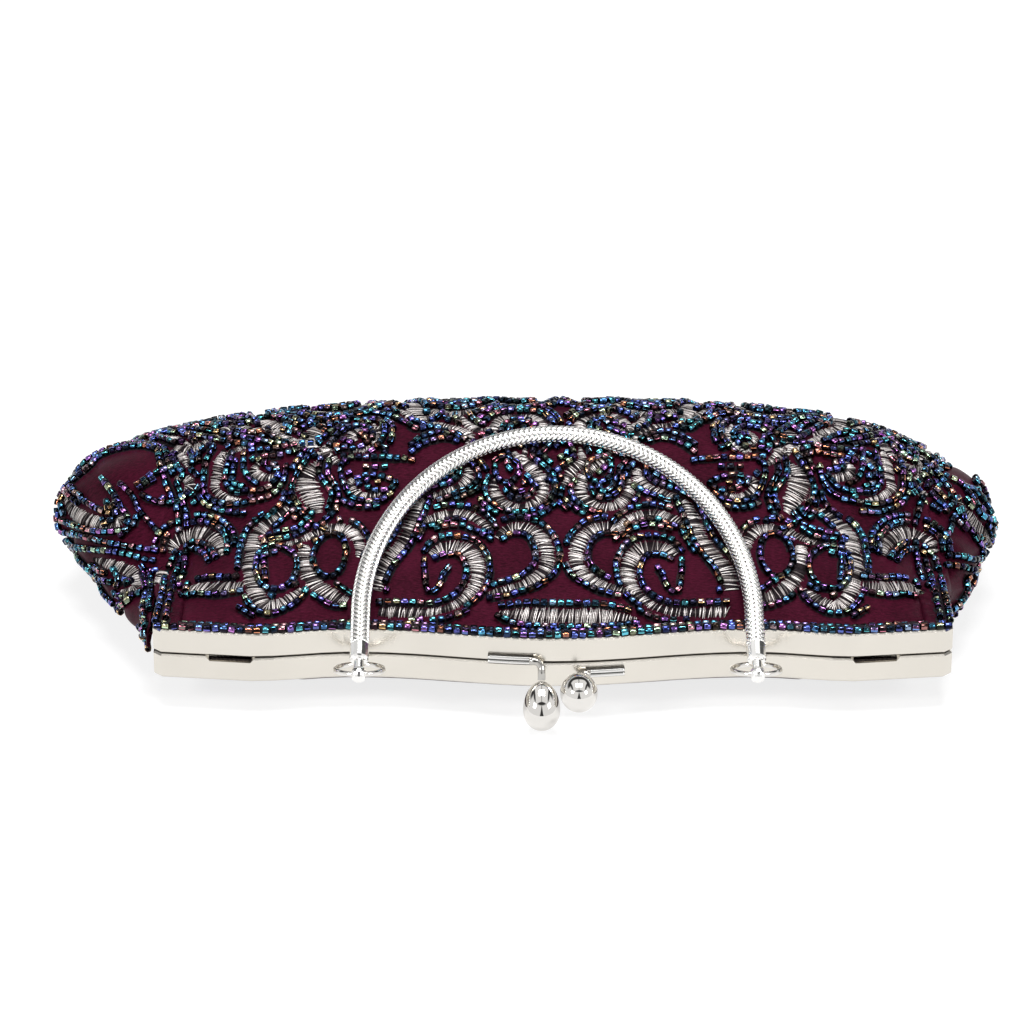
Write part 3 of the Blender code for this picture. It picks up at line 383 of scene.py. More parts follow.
def grid_quads(rows, columns, wrap=False):
    last = columns if wrap else columns - 1
    r, c = np.meshgrid(np.arange(rows - 1), np.arange(last), indexing="ij")
    beside = (c + 1) % columns
    return np.stack(
        [r * columns + c, r * columns + beside, (r + 1) * columns + beside, (r + 1) * columns + c], -1
    ).reshape(-1, 4)


def unit(vectors):
    return vectors / np.maximum(np.linalg.norm(vectors, axis=-1, keepdims=True), 1e-12)


def grid_normals(points):
    return unit(np.cross(np.gradient(points, axis=1), np.gradient(points, axis=0)))


def gathered(grids):
    """Vertices and faces of several grids together."""
    vertices = []
    faces = []
    base = 0
    for grid in grids:
        rows, columns = grid.shape[:2]
        vertices.append(grid.reshape(-1, 3))
        faces.append(grid_quads(rows, columns) + base)
        base += rows * columns
    return np.concatenate(vertices), np.concatenate(faces)


def cloth_object(name, outer, thickness, material, outward):
    """A thin closed sheet from a grid of outer points; outward is 1 or -1 for the grid's side."""
    rows, columns = outer.shape[:2]
    normals = grid_normals(outer) * outward
    inner = outer - normals * thickness
    vertices = np.concatenate([outer.reshape(-1, 3), inner.reshape(-1, 3)])
    quads = grid_quads(rows, columns)
    if outward < 0:
        quads = quads[:, ::-1]
    count = rows * columns
    back = quads[:, ::-1] + count
    rim = list(range(columns))
    rim += [r * columns + columns - 1 for r in range(1, rows)]
    rim += [(rows - 1) * columns + c for c in range(columns - 2, -1, -1)]
    rim += [r * columns for r in range(rows - 2, 0, -1)]
    rim = np.array(rim)
    following = np.roll(rim, -1)
    border = np.stack([following, rim, rim + count, following + count], -1)
    if outward < 0:
        border = border[:, ::-1]
    faces = np.concatenate([quads, back, border])
    item = fast_object(name, vertices, faces, material)
    steps = np.linalg.norm(np.diff(outer, axis=1), axis=-1)
    across = np.concatenate([np.zeros((rows, 1)), np.cumsum(steps, axis=1)], axis=1)
    across -= across[:, columns // 2][:, None]
    drops = np.linalg.norm(np.diff(outer[:, columns // 2], axis=0), axis=-1)
    along = np.concatenate([[0.0], np.cumsum(drops)])
    flat = np.stack([across, np.repeat(along[:, None], columns, 1), np.zeros_like(across)], -1)
    flat = flat.reshape(-1, 3)
    places = item.data.attributes.new("cloth", "FLOAT_VECTOR", "POINT")
    places.data.foreach_set("vector", np.concatenate([flat, flat]).astype(np.float32).ravel())
    width = float((across[:, -1] - across[:, 0]).max())
    length = float(along[-1])
    a = outer[:-1, :-1] - outer[1:, 1:]
    b = outer[:-1, 1:] - outer[1:, :-1]
    area = float(0.5 * np.linalg.norm(np.cross(a, b), axis=-1).sum())
    return item, width, length, area


# Ground cloth of the body: satin panels a bead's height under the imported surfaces


def inset_share(depth):
    return eased(depth, INSET_START, INSET_BLEND)


def wrinkle(x, depth, seed):
    """Low folds of stretched satin between the stitched scrolls."""
    a = math.sin(x * 331.0 + 2.1 * math.sin(depth * 240.0 + seed)) * math.sin(depth * 283.0 + seed)
    b = math.sin((x * 0.8 + depth) * 520.0 + 1.7 * seed) * math.sin((x - depth * 0.7) * 410.0)
    return WRINKLE_HEIGHT * a + CROSS_WRINKLE_HEIGHT * b


def right_sag(x, depth):
    """The right end of the bag lies flatter than the left one."""
    return RIGHT_SAG * eased(x, SAG_START_X, SAG_BLEND_X) * eased(depth, SAG_START_DEPTH, SAG_BLEND_DEPTH)


def past_ear_share(depth):
    return eased(depth, ear_back(), PANEL_SPLIT - ear_back())


def panel_ground(side, rows=150, columns=261):
    """The front or back panel from its hem to the bottom of the bag, from end to end."""
    grid = np.zeros((rows, columns, 3))
    shares = [math.sin(0.5 * math.pi * (2.0 * c / (columns - 1) - 1.0)) for c in range(columns)]
    for r in range(rows):
        depth = mix(HEM_START, BODY_DEPTH, (r / (rows - 1)) ** PANEL_ROW_POWER)
        reaches = {hand: panel_reach(depth, hand) for hand in (-1, 1)}
        near_end = eased(BODY_DEPTH, depth, EDGE_BLEND)
        for c, share in enumerate(shares):
            reach = reaches[-1 if share < 0.0 else 1]
            x = share * reach
            room = eased(reach, abs(x), EDGE_BLEND)
            height = panel_height(x, depth, side)
            inset = GROUND_INSET * inset_share(depth) * mix(EDGE_INSET_SHARE, 1.0, min(room, near_end))
            fold = wrinkle(x, depth, 1.3 * side) * inset_share(depth) * room * near_end
            if side > 0:
                fold *= eased(height, LOW_FOLD_START, EDGE_BLEND)
                inset -= CROWN_FILL * eased(depth, CROWN_FILL_START, CROWN_FILL_BLEND) * min(room, near_end)
                shown = height - (inset + fold) - right_sag(x, depth)
            else:
                table = BEADS_OFF_TABLE * eased(depth, TABLE_BLEND, TABLE_BLEND) - SEAM_HEIGHT
                sight = frame_bottom() - SEAM_HEIGHT - SIGHT_SLOPE * depth
                shown = max(height + (inset + fold), table, sight)
            grid[r, c] = body_point(x, depth, shown)
    return grid


def gusset_ground(hand, rows=90, columns=61):
    """One end of the bag, from the front panel's edge round its seam to the back panel's edge."""
    grid = np.zeros((rows, columns, 3))
    end = GUSSET_TAPER_END - GUSSET_MARGIN
    start = GUSSET_START - GUSSET_MARGIN if hand < 0 else RIGHT_GUSSET_SHOWN_FROM
    for r in range(rows):
        depth = mix(start, end, r / (rows - 1))
        past_ear = past_ear_share(depth)
        root_x = mix(BESIDE_RIVET, panel_reach(depth, hand) - SEAM_OVERLAP, past_ear)
        seam_x = max(side_reach(depth, hand), root_x + GUSSET_LEAST_BULGE)
        fullness_from_frame = eased(depth, FULLNESS_START, FULLNESS_BLEND)
        fullness = mix(NEAR_FULLNESS_SHARES[hand], END_FULLNESS_SHARES[hand], fullness_from_frame)
        seam_x = mix(root_x, seam_x, fullness)
        if hand > 0:
            seam_x = mix(root_x + 0.0001, seam_x, eased(depth, start, RIGHT_GUSSET_BLEND))
        seam_z = girth_height(depth)
        edge_x = min(root_x, panel_reach(depth, hand)) if past_ear > 0.0 else PANEL_WIDTH_BEHIND_ARMS
        folded = eased(depth, GUSSET_FOLD_START, GUSSET_FOLD_BLEND) * eased(end, depth, GUSSET_FOLD_BLEND)
        for c in range(columns):
            angle = math.pi * c / (columns - 1)
            side = 1 if angle <= 0.5 * math.pi else -1
            root_z = panel_height(hand * edge_x, depth, side)
            power = 1.0
            if side > 0 and hand > 0:
                root_z -= right_sag(edge_x, depth)
                power = RIGHT_GUSSET_POWER
            elif side < 0 and hand < 0:
                root_z = mix(-0.0004, root_z, eased(depth, GUSSET_FOLD_START, LEFT_UNDERSIDE_BLEND))
            cosine = abs(math.cos(angle))
            wave = math.sin(depth * GUSSET_FOLD_RATE + 2.0 * math.cos(2.0 * angle) + hand)
            fold = GUSSET_FOLD_HEIGHT * wave * math.sin(angle) ** 2 * folded
            inset = GROUND_INSET * math.sin(angle) * smooth_share((seam_x - root_x) / EDGE_BLEND)
            reach = (seam_x - root_x) * math.sin(angle) ** END_ROUNDNESS
            x = root_x + max(reach - inset - max(fold, GUSSET_FOLD_LOWEST), 0.0)
            rise = (root_z - seam_z) * cosine**power - side * EDGE_INSET_SHARE * inset * cosine
            grid[r, c] = place(hand * x, depth, seam_z + rise)
    return grid


def shoulder_ground(hand, side, rows=70, columns=15):
    """Strip of the gusset that covers an arm of the frame and joins the panel's edge."""
    grid = np.zeros((rows, columns, 3))
    for r in range(rows):
        depth = mix(SHOULDER_STARTS[side], SHOULDER_END, r / (rows - 1))
        past_ear = past_ear_share(depth)
        past_corner = eased(depth, SHOULDER_BLEND, SHOULDER_BLEND)
        reach = panel_reach(depth, hand)
        outer = max(mix(BESIDE_RIVET + 0.0002, reach, past_ear), reach) + SHOULDER_OVERHANG
        outer = mix(FRAME_HALF_WIDTH - 0.0002, outer, past_corner)
        inner = min(reach, PANEL_WIDTH_BEHIND_ARMS + SHOULDER_SPREAD * past_ear) - SHOULDER_UNDERLAP
        edge = side * panel_height(hand * (reach - SEAM_OVERLAP), depth, side)
        inner_height = side * panel_height(hand * inner, depth, side)
        for c in range(columns):
            share = c / (columns - 1)
            x = mix(inner, outer, curve_through(SHOULDER_PLACE_SHARES, share))
            base = mix(inner_height, edge, share) - SHOULDER_SINK
            if depth < SHOULDER_SUPPORT_END:
                base = mix(base, max(SHOULDER_TOP - SHOULDER_SUPPORT_BELOW, base), share)
            height = mix(base, max(SHOULDER_TOP, edge, base), curve_through(SHOULDER_LIFT_SHARES, share))
            height -= SHOULDER_EDGE_DROP * max((share - 0.8) / 0.2, 0.0) * past_corner
            ruck = math.sin(depth * SHOULDER_RUCK_RATE + 4.0 * share) * math.sin(math.pi * share)
            grid[r, c] = place(hand * x, depth, side * (height + SHOULDER_RUCK_HEIGHT * ruck))
    return grid


# Camera


def camera_axes():
    cosine = math.cos(CAMERA_ELEVATION)
    forward = Vector(
        (math.sin(CAMERA_YAW) * cosine, math.cos(CAMERA_YAW) * cosine, -math.sin(CAMERA_ELEVATION))
    )
    level = forward.cross(Vector((0.0, 0.0, 1.0))).normalized()
    upright = level.cross(forward).normalized()
    right = level * math.cos(CAMERA_ROLL) + upright * math.sin(CAMERA_ROLL)
    up = right.cross(forward).normalized()
    return right, up, forward


CAMERA_RIGHT, CAMERA_UP, CAMERA_FORWARD = camera_axes()


def make_camera():
    data = bpy.data.cameras.new("camera")
    data.sensor_width = SENSOR_WIDTH_MM
    data.lens = FOCAL_PIXELS / FRAME_PIXELS * SENSOR_WIDTH_MM
    data.clip_start = 0.05
    data.clip_end = 20.0
    camera = bpy.data.objects.new("camera", data)
    bpy.context.scene.collection.objects.link(camera)
    turn = Matrix((CAMERA_RIGHT, CAMERA_UP, -CAMERA_FORWARD)).transposed().to_4x4()
    camera.matrix_world = Matrix.Translation(Vector(CAMERA_PLACE)) @ turn
    bpy.context.scene.camera = camera


def pixel_ray(u, v):
    half = 0.5 * FRAME_PIXELS
    across = (u - half) / FOCAL_PIXELS
    upward = (half - v) / FOCAL_PIXELS
    return (CAMERA_FORWARD + CAMERA_RIGHT * across + CAMERA_UP * upward).normalized()


def pixel_of(p):
    away = Vector(p) - Vector(CAMERA_PLACE)
    far = away.dot(CAMERA_FORWARD)
    half = 0.5 * FRAME_PIXELS
    return half + FOCAL_PIXELS * away.dot(CAMERA_RIGHT) / far, half - FOCAL_PIXELS * away.dot(CAMERA_UP) / far


def frame_bottom():
    return SEAM_HEIGHT - CHANNEL_HEIGHT - 0.5 * SEAM_GAP


def shows_under_frame(p, allowance):
    """True where the photograph's camera would see the point below the frame's lower edge."""
    edge = Vector((p[0], face_wave(p[0]) - FACE_TO_ORIGIN, frame_bottom()))
    return pixel_of((p[0], p[1], p[2] - allowance))[1] > pixel_of(edge)[1]


make_camera()


# Materials


class Nodes:
    """A short way to write the node tree of a material or of the world."""

    def __init__(self, owner):
        owner.use_nodes = True
        self.owner = owner
        self.tree = owner.node_tree
        self.shader = self.tree.nodes.get("Principled BSDF")

    def fill(self, node, **inputs):
        """Link or write each input; a name has underscores for its blanks."""
        for key, value in inputs.items():
            socket = node.inputs[key.replace("_", " ")]
            if isinstance(value, bpy.types.NodeSocket):
                self.tree.links.new(value, socket)
            elif isinstance(value, tuple) and socket.type == "RGBA":
                socket.default_value = (*value, 1.0)
            else:
                socket.default_value = value
        return node

    def node(self, kind, settings=(), **inputs):
        made = self.tree.nodes.new("ShaderNode" + kind)
        for key, value in dict(settings).items():
            setattr(made, key, value)
        return self.fill(made, **inputs)

    def finish(self, **values):
        """Write the shader's own inputs and hand the material over."""
        self.fill(self.shader, **values)
        return self.owner

    def attribute(self, name, output="Fac"):
        settings = {"attribute_type": "GEOMETRY", "attribute_name": name}
        return self.node("Attribute", settings).outputs[output]

    def places(self):
        return self.node("TexCoord").outputs["Object"]

    def noise(self, scale, detail=2.0, over=None, **inputs):
        """Noise over the object's own places, or over another vector."""
        vector = self.places() if over is None else over
        return self.node("TexNoise", Scale=scale, Detail=detail, Vector=vector, **inputs).outputs["Fac"]

    def tone(self, value, stops, interpolation="LINEAR"):
        """A colour for each value, from stops of a position and a colour."""
        made = self.node("ValToRGB", Fac=value)
        ramp = made.color_ramp
        ramp.interpolation = interpolation
        while len(ramp.elements) > 1:
            ramp.elements.remove(ramp.elements[-1])
        ramp.elements[0].position = stops[0][0]
        ramp.elements[0].color = (*stops[0][1], 1.0)
        for position, color in stops[1:]:
            ramp.elements.new(position).color = (*color, 1.0)
        return made.outputs["Color"]

    def blend(self, a, b, share=1.0, kind="MULTIPLY"):
        made = self.node("Mix", {"data_type": "RGBA", "blend_type": kind}, Factor=share, A=a, B=b)
        return made.outputs["Result"]

    def relief(self, height, strength, distance):
        return self.node("Bump", Strength=strength, Distance=distance, Height=height).outputs["Normal"]

    def math(self, operation, *values):
        made = self.node("Math", {"operation": operation})
        for socket, value in zip(made.inputs, values):
            if isinstance(value, bpy.types.NodeSocket):
                self.tree.links.new(value, socket)
            else:
                socket.default_value = value
        return made.outputs[0]

    def step(self, value, low, high):
        """From 0 to 1 as the value goes from low to high; the other way round where low is above high."""
        made = self.node(
            "MapRange",
            {"interpolation_type": "SMOOTHSTEP"},
            Value=value,
            From_Min=min(low, high),
            From_Max=max(low, high),
            To_Min=0.0 if low < high else 1.0,
            To_Max=1.0 if low < high else 0.0,
        )
        return made.outputs["Result"]


def metal_material(name, color, roughness, smudge_scale, smudge):
    n = Nodes(bpy.data.materials.new(name))
    smudges = n.noise(smudge_scale, 4.0)
    rough = n.node("MapRange", Value=smudges, To_Min=roughness, To_Max=roughness + smudge)
    return n.finish(
        Base_Color=n.tone(smudges, ((0.3, tuple(c * 0.94 for c in color)), (0.7, color))),
        Roughness=rough.outputs["Result"],
        Normal=n.relief(n.noise(900.0), strength=0.012, distance=0.0002),
        Metallic=1.0,
    )


def metal_with_painted_gap_shade(name, shade):
    """Bright metal with painted shade: dark in the gaps of its relief."""
    n = Nodes(bpy.data.materials.new(name))
    stops = (
        (0.0, (0.020, 0.019, 0.018)),
        (0.24, (0.12, 0.117, 0.112)),
        (0.46, (0.68 * shade, 0.67 * shade, 0.65 * shade)),
        (1.0, (0.92 * shade, 0.91 * shade, 0.89 * shade)),
    )
    return n.finish(
        Base_Color=n.tone(n.attribute("raised"), stops),
        Roughness=0.22,
        Normal=n.relief(n.noise(1600.0), strength=0.08, distance=0.0001),
        Metallic=1.0,
    )


# The paper cord is coloured near black, as painted shade where it shows through the frame's notch.
def cord_material_painted_dark():
    n = Nodes(bpy.data.materials.new("paper_cord"))
    twist = n.node("TexWave", Scale=260.0, Distortion=1.5, Vector=n.places()).outputs["Fac"]
    return n.finish(
        Base_Color=n.tone(twist, ((0.0, (0.020, 0.014, 0.012)), (1.0, (0.050, 0.034, 0.030)))),
        Roughness=0.85,
        Normal=n.relief(twist, strength=0.5, distance=0.0003),
    )


def satin_material(name, dark, light, weave_scale, roughness):
    """Satin with fine floats of thread in a diagonal weave, from the cloth's own flat places."""
    n = Nodes(bpy.data.materials.new(name))
    flat = n.attribute("cloth", "Vector")
    weave = (weave_scale * 0.35, weave_scale, weave_scale)
    mapping = n.node("Mapping", Rotation=(0.0, 0.0, 0.5), Scale=weave, Vector=flat)
    threads = n.noise(1.0, 3.0, mapping.outputs["Vector"], Roughness=0.7)
    broad = n.noise(60.0, 2.0, flat)
    share = n.math("ADD", n.math("MULTIPLY", threads, 0.75), n.math("MULTIPLY", broad, 0.35))
    return n.finish(
        Base_Color=n.tone(share, ((0.38, dark), (0.72, light))),
        Roughness=roughness,
        Normal=n.relief(threads, strength=0.35, distance=0.00015),
        Specular_IOR_Level=0.10,
        Specular_Tint=(0.60, 0.08, 0.20),
    )


# Thread levels to colours: 0 is the painted shade of the sheet under the strands, low levels are painted gap
# shade, the top is the painted highlight on strand ridges.
THREAD_TONE_AND_PAINTED_LIGHT_STOPS = (
    (0.0, (0.010, 0.007, 0.009)),
    (0.12, (0.030, 0.022, 0.024)),
    (0.34, (0.16, 0.145, 0.14)),
    (0.62, (0.50, 0.47, 0.46)),
    (1.0, (1.0, 0.98, 0.96)),
)
GLINT_STOPS = ((0.35, (0.62, 0.58, 0.60)), (0.50, (0.92, 0.90, 0.88)), (0.66, (1.0, 0.98, 1.0)))


def thread_material():
    """Satin stitch: separate strands of silver-grey twisted thread, each with a painted highlight on its
    ridge and painted shade at its roots, over a sheet in painted shade.
    """
    n = Nodes(bpy.data.materials.new("stitched_silk"))
    fine = n.noise(3800.0)
    return n.finish(
        Base_Color=n.blend(n.tone(n.attribute("thread"), THREAD_TONE_AND_PAINTED_LIGHT_STOPS), n.tone(fine, GLINT_STOPS)),
        Normal=n.relief(fine, strength=0.4, distance=0.0001),
        Metallic=0.34,
        Roughness=0.30,
        Specular_IOR_Level=0.06,
    )


BEAD_COLORS = (
    (0.045, 0.110, 0.270),
    (0.060, 0.170, 0.400),
    (0.050, 0.230, 0.340),
    (0.090, 0.340, 0.400),
    (0.050, 0.070, 0.280),
    (0.090, 0.085, 0.340),
    (0.190, 0.080, 0.300),
    (0.300, 0.120, 0.340),
    (0.340, 0.090, 0.150),
    (0.400, 0.150, 0.070),
    (0.460, 0.300, 0.130),
    (0.260, 0.400, 0.300),
    (0.040, 0.180, 0.200),
    (0.085, 0.120, 0.400),
    (0.130, 0.330, 0.540),
    (0.035, 0.045, 0.160),
)


# Levels for a bead face's flat value: painted shade at the low end, painted highlights and glints at the high
# end, brighter than white.
PAINTED_FACET_LIGHT_STOPS = (
    (0.0, (0.012, 0.012, 0.014)),
    (0.34, (0.07, 0.07, 0.08)),
    (0.56, (0.50, 0.50, 0.50)),
    (0.88, (1.10, 1.10, 1.10)),
    (0.95, (2.3, 2.3, 2.2)),
)


def bead_material():
    """Metal-lined glass beads, each bead with its own two tints; the flat value paints light and shade on the
    faces: dark flats, a few bright flats and glints on the edges.
    """
    n = Nodes(bpy.data.materials.new("iris_beads"))
    tint = n.attribute("tint")
    flat = n.attribute("flat")
    count = len(BEAD_COLORS)
    first = tuple((index / count, color) for index, color in enumerate(BEAD_COLORS))
    second = tuple((index / count, BEAD_COLORS[(index * 5 + 3) % count]) for index in range(count))
    share = n.math("MULTIPLY", n.math("FRACT", n.math("MULTIPLY", flat, 7.3)), 0.7)
    glass = n.blend(n.tone(tint, first, "CONSTANT"), n.tone(tint, second, "CONSTANT"), share, "MIX")
    return n.finish(
        Base_Color=n.blend(glass, n.tone(flat, PAINTED_FACET_LIGHT_STOPS)),
        Metallic=1.0,
        Roughness=0.11,
        Coat_Weight=0.12,
        Coat_Roughness=0.04,
        Specular_IOR_Level=0.5,
    )


def sewing_and_painted_shade_material():
    """Dark waxed thread that the beads are sewn down with, coloured near black and laid wider than the beads
    as painted shade round them.
    """
    n = Nodes(bpy.data.materials.new("backing_thread"))
    strands = n.noise(2400.0)
    return n.finish(
        Base_Color=n.tone(strands, ((0.3, (0.003, 0.0025, 0.004)), (0.7, (0.014, 0.009, 0.013)))),
        Roughness=0.7,
        Normal=n.relief(strands, strength=0.5, distance=0.0002),
        Specular_IOR_Level=0.15,
    )


nickel = metal_material("polished_nickel", (0.69, 0.655, 0.595), 0.21, 45.0, 0.03)
bright = metal_material("polished_knobs", (0.71, 0.69, 0.66), 0.03, 60.0, 0.02)
ferrule_metal = metal_material("turned_ferrules", (0.86, 0.85, 0.83), 0.17, 60.0, 0.02)
stem_metal = metal_material("clasp_stems", (0.46, 0.445, 0.42), 0.10, 60.0, 0.02)
silver = metal_with_painted_gap_shade("silver_chain", 1.0)
grooved = metal_with_painted_gap_shade("grooved_bars", 0.80)
steel = metal_material("core_steel", (0.45, 0.45, 0.46), 0.35, 120.0, 0.1)
cord_in_painted_shade = cord_material_painted_dark()
satin = satin_material("plum_satin", (0.010, 0.0012, 0.0035), (0.060, 0.0056, 0.0180), 1900.0, 0.50)
lining = satin_material("plum_lining", (0.036, 0.007, 0.014), (0.075, 0.012, 0.026), 1900.0, 0.62)
thread = thread_material()
beads = bead_material()
backing = sewing_and_painted_shade_material()

FINISHES = (
    (nickel, ("front_frame", "back_frame", "hinge_rivet_left", "hinge_rivet_right")),
    (nickel, ("handle_loop_left", "handle_loop_right")),
    (bright, ("clasp_arm_front", "clasp_arm_back", "clasp_knob_front", "clasp_knob_back")),
    (bright, ("ring_left", "ring_right")),
    (ferrule_metal, ("ferrule_left", "ferrule_right")),
    (silver, ("handle_chain",)),
    (steel, ("handle_core",)),
    (cord_in_painted_shade, ("front_frame_cord", "back_frame_cord")),
)
for finish, node_names in FINISHES:
    for node_name in node_names:
        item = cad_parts[node_name]
        if not item.material_slots:
            item.data.materials.append(finish)
        for slot in item.material_slots:
            slot.material = finish


# Stage and light


FLOOR_HALF_WIDTH = 6.0
FLOOR_BELOW_TABLE = 0.0004
FLOOR_GLOW = 0.80
WHITE = (1.0, 1.0, 1.0)


def make_stage():
    """White floor a hair under the table top, which the camera sees brighter than the lamps make it."""
    n = Nodes(bpy.data.materials.new("studio_floor"))
    grain = n.tone(n.noise(40.0), ((0.3, (0.29, 0.29, 0.29)), (0.7, (0.31, 0.31, 0.31))))
    n.finish(Base_Color=grain, Roughness=0.9, Specular_IOR_Level=0.1)
    path = n.node("LightPath")
    seen = n.math("MAXIMUM", path.outputs["Is Camera Ray"], path.outputs["Is Glossy Ray"])
    seen = n.math("MAXIMUM", seen, path.outputs["Is Transmission Ray"])
    glow = n.node("Emission", Color=WHITE, Strength=n.math("MULTIPLY", seen, FLOOR_GLOW))
    add = n.node("AddShader")
    n.tree.links.new(n.shader.outputs[0], add.inputs[0])
    n.tree.links.new(glow.outputs[0], add.inputs[1])
    n.fill(n.tree.nodes["Material Output"], Surface=add.outputs[0])
    half = FLOOR_HALF_WIDTH
    around = ((-half, -half), (half, -half), (half, half), (-half, half))
    corners = [(x, y, -FLOOR_BELOW_TABLE) for x, y in around]
    fast_object("studio_floor", corners, np.array([[0, 1, 2, 3]]), n.owner, smooth=False)


# Places on the world's sphere, as directions between -1 and 1
SOFTBOX_HALF_WIDTH = 0.56
SOFTBOX_BACK = 0.60
SOFTBOX_FRONT = -0.52
SOFTBOX_JOINT = 0.030
CEILING_FROM = 0.66
BACK_DARK_FROM = 0.34
CEILING_BLEND = 0.08
BEHIND_BLEND = 0.25
BACK_DARK_BLEND = 0.20
SOFTBOX_SIDE_BLEND = 0.04
SOFTBOX_END_BLEND = 0.05
JOINT_BLEND = 0.012
STAND_TOP = 0.72
STAND_TOP_BLEND = 0.04
STAND_EDGE_BLEND = 0.03
STAND_BEFORE = (-0.1, -0.3)
STAND_NARROWING = 0.26
DARK_SHARE = 0.95
FILL_LEVEL = 0.15


def make_world():
    """Even fill; in the metal a white room, a dark ceiling with a softbox, and the camera's own stand."""
    n = Nodes(bpy.data.worlds.new("studio"))
    bpy.context.scene.world = n.owner
    split = n.node("SeparateXYZ", Vector=n.node("TexCoord").outputs["Generated"])
    across, along, upward = split.outputs["X"], split.outputs["Y"], split.outputs["Z"]

    def all_of(*shares):
        whole = shares[0]
        for share in shares[1:]:
            whole = n.math("MULTIPLY", whole, share)
        return whole

    sideways = n.math("ABSOLUTE", across)
    ceiling = n.step(upward, CEILING_FROM, CEILING_FROM + CEILING_BLEND)
    back_dark = n.step(upward, BACK_DARK_FROM, BACK_DARK_FROM + BACK_DARK_BLEND)
    behind = all_of(n.step(along, 0.0, BEHIND_BLEND), back_dark)
    softbox = all_of(
        n.step(sideways, SOFTBOX_HALF_WIDTH + SOFTBOX_SIDE_BLEND, SOFTBOX_HALF_WIDTH),
        ceiling,
        n.step(along, SOFTBOX_FRONT - SOFTBOX_END_BLEND, SOFTBOX_FRONT),
        n.step(along, SOFTBOX_BACK + SOFTBOX_END_BLEND, SOFTBOX_BACK),
        n.step(sideways, SOFTBOX_JOINT - JOINT_BLEND, SOFTBOX_JOINT),
    )
    dark = all_of(n.math("MAXIMUM", ceiling, behind), n.math("SUBTRACT", 1.0, softbox))
    below_top = n.math("MULTIPLY", n.math("SUBTRACT", STAND_TOP, upward), STAND_NARROWING)
    stand = all_of(
        n.step(n.math("SUBTRACT", sideways, below_top), STAND_EDGE_BLEND, 0.0),
        n.step(along, *STAND_BEFORE),
        n.step(upward, STAND_TOP, STAND_TOP - STAND_TOP_BLEND),
    )
    dark = n.math("MAXIMUM", dark, stand)
    level = n.math("SUBTRACT", 1.0, n.math("MULTIPLY", dark, DARK_SHARE))
    path = n.node("LightPath")
    shown = n.tree.nodes["Background"].outputs[0]
    n.fill(n.tree.nodes["Background"], Color=WHITE, Strength=FILL_LEVEL)
    for kind, strength in (("Is Glossy Ray", level), ("Is Camera Ray", 1.0)):
        choice = n.node("MixShader", Fac=path.outputs[kind])
        n.tree.links.new(shown, choice.inputs[1])
        n.tree.links.new(n.node("Background", Color=WHITE, Strength=strength).outputs[0], choice.inputs[2])
        shown = choice.outputs[0]
    n.fill(n.tree.nodes["World Output"], Surface=shown)


def add_lamp(name, spot, target, size, power):
    data = bpy.data.lights.new(name, "AREA")
    data.shape = "RECTANGLE"
    data.size, data.size_y = size
    data.energy = power
    lamp = bpy.data.objects.new(name, data)
    bpy.context.scene.collection.objects.link(lamp)
    lamp.location = spot
    lamp.rotation_euler = (Vector(target) - Vector(spot)).to_track_quat("-Z", "Y").to_euler()


make_stage()
make_world()
add_lamp("soft_top", (0.0, -0.10, 1.3), (0.0, 0.0, 0.0), (0.8, 0.5), 16.0)
add_lamp("soft_left", (-1.1, -0.9, 0.9), (0.0, 0.0, 0.02), (0.4, 0.4), 9.0)
add_lamp("soft_right", (1.1, -0.8, 0.8), (0.0, 0.0, 0.02), (0.4, 0.4), 7.5)


# Body cloth

front_grid = panel_ground(1)
back_grid = panel_ground(-1)
gusset_grids = {hand: gusset_ground(hand) for hand in (-1, 1)}
shoulder_grids = {(hand, side): shoulder_ground(hand, side) for hand in (-1, 1) for side in (1, -1)}


def surface_of(panel, side):
    """One side of the body as a single surface, which lines and beads are laid on."""
    shoulders = [shoulder_grids[(hand, side)] for hand in (-1, 1)]
    vertices, faces = gathered([panel, *gusset_grids.values(), *shoulders])
    return BVHTree.FromPolygons(vertices.tolist(), faces.tolist())


front_surface = surface_of(front_grid, 1)
back_surface = surface_of(back_grid, -1)


def on_front(item):
    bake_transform(item)


def on_back(item):
    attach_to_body(item, "back_half")


def make_cloth():
    """The satin's pieces, each with its measures and what it rests on."""
    made = []
    for name, grid, outward, half, attach, nodes in (
        ("satin_front", front_grid, 1, "front", on_front, ("front_panel_top", "front_panel")),
        ("satin_back", back_grid, -1, "back", on_back, ("back_panel",)),
        ("satin_gusset_left", gusset_grids[-1], -1, "back", on_back, ("gusset_left",)),
        ("satin_gusset_right", gusset_grids[1], 1, "back", on_back, ("gusset_right",)),
    ):
        item, *measures = cloth_object(name, grid, CLOTH_THICKNESS, satin, outward)
        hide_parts(*nodes)
        attach(item)
        made.append((item, *measures, [f"{half}_frame", f"lining_cloth_{half}"]))
    for (hand, side), grid in shoulder_grids.items():
        label = "left" if hand < 0 else "right"
        half, attach = ("front", on_front) if side > 0 else ("back", on_back)
        name = f"satin_shoulder_{label}_{half}"
        item, *measures = cloth_object(name, grid, CLOTH_THICKNESS, satin, hand * side)
        attach(item)
        made.append((item, *measures, [f"{half}_frame", f"satin_{half}"]))
    return made


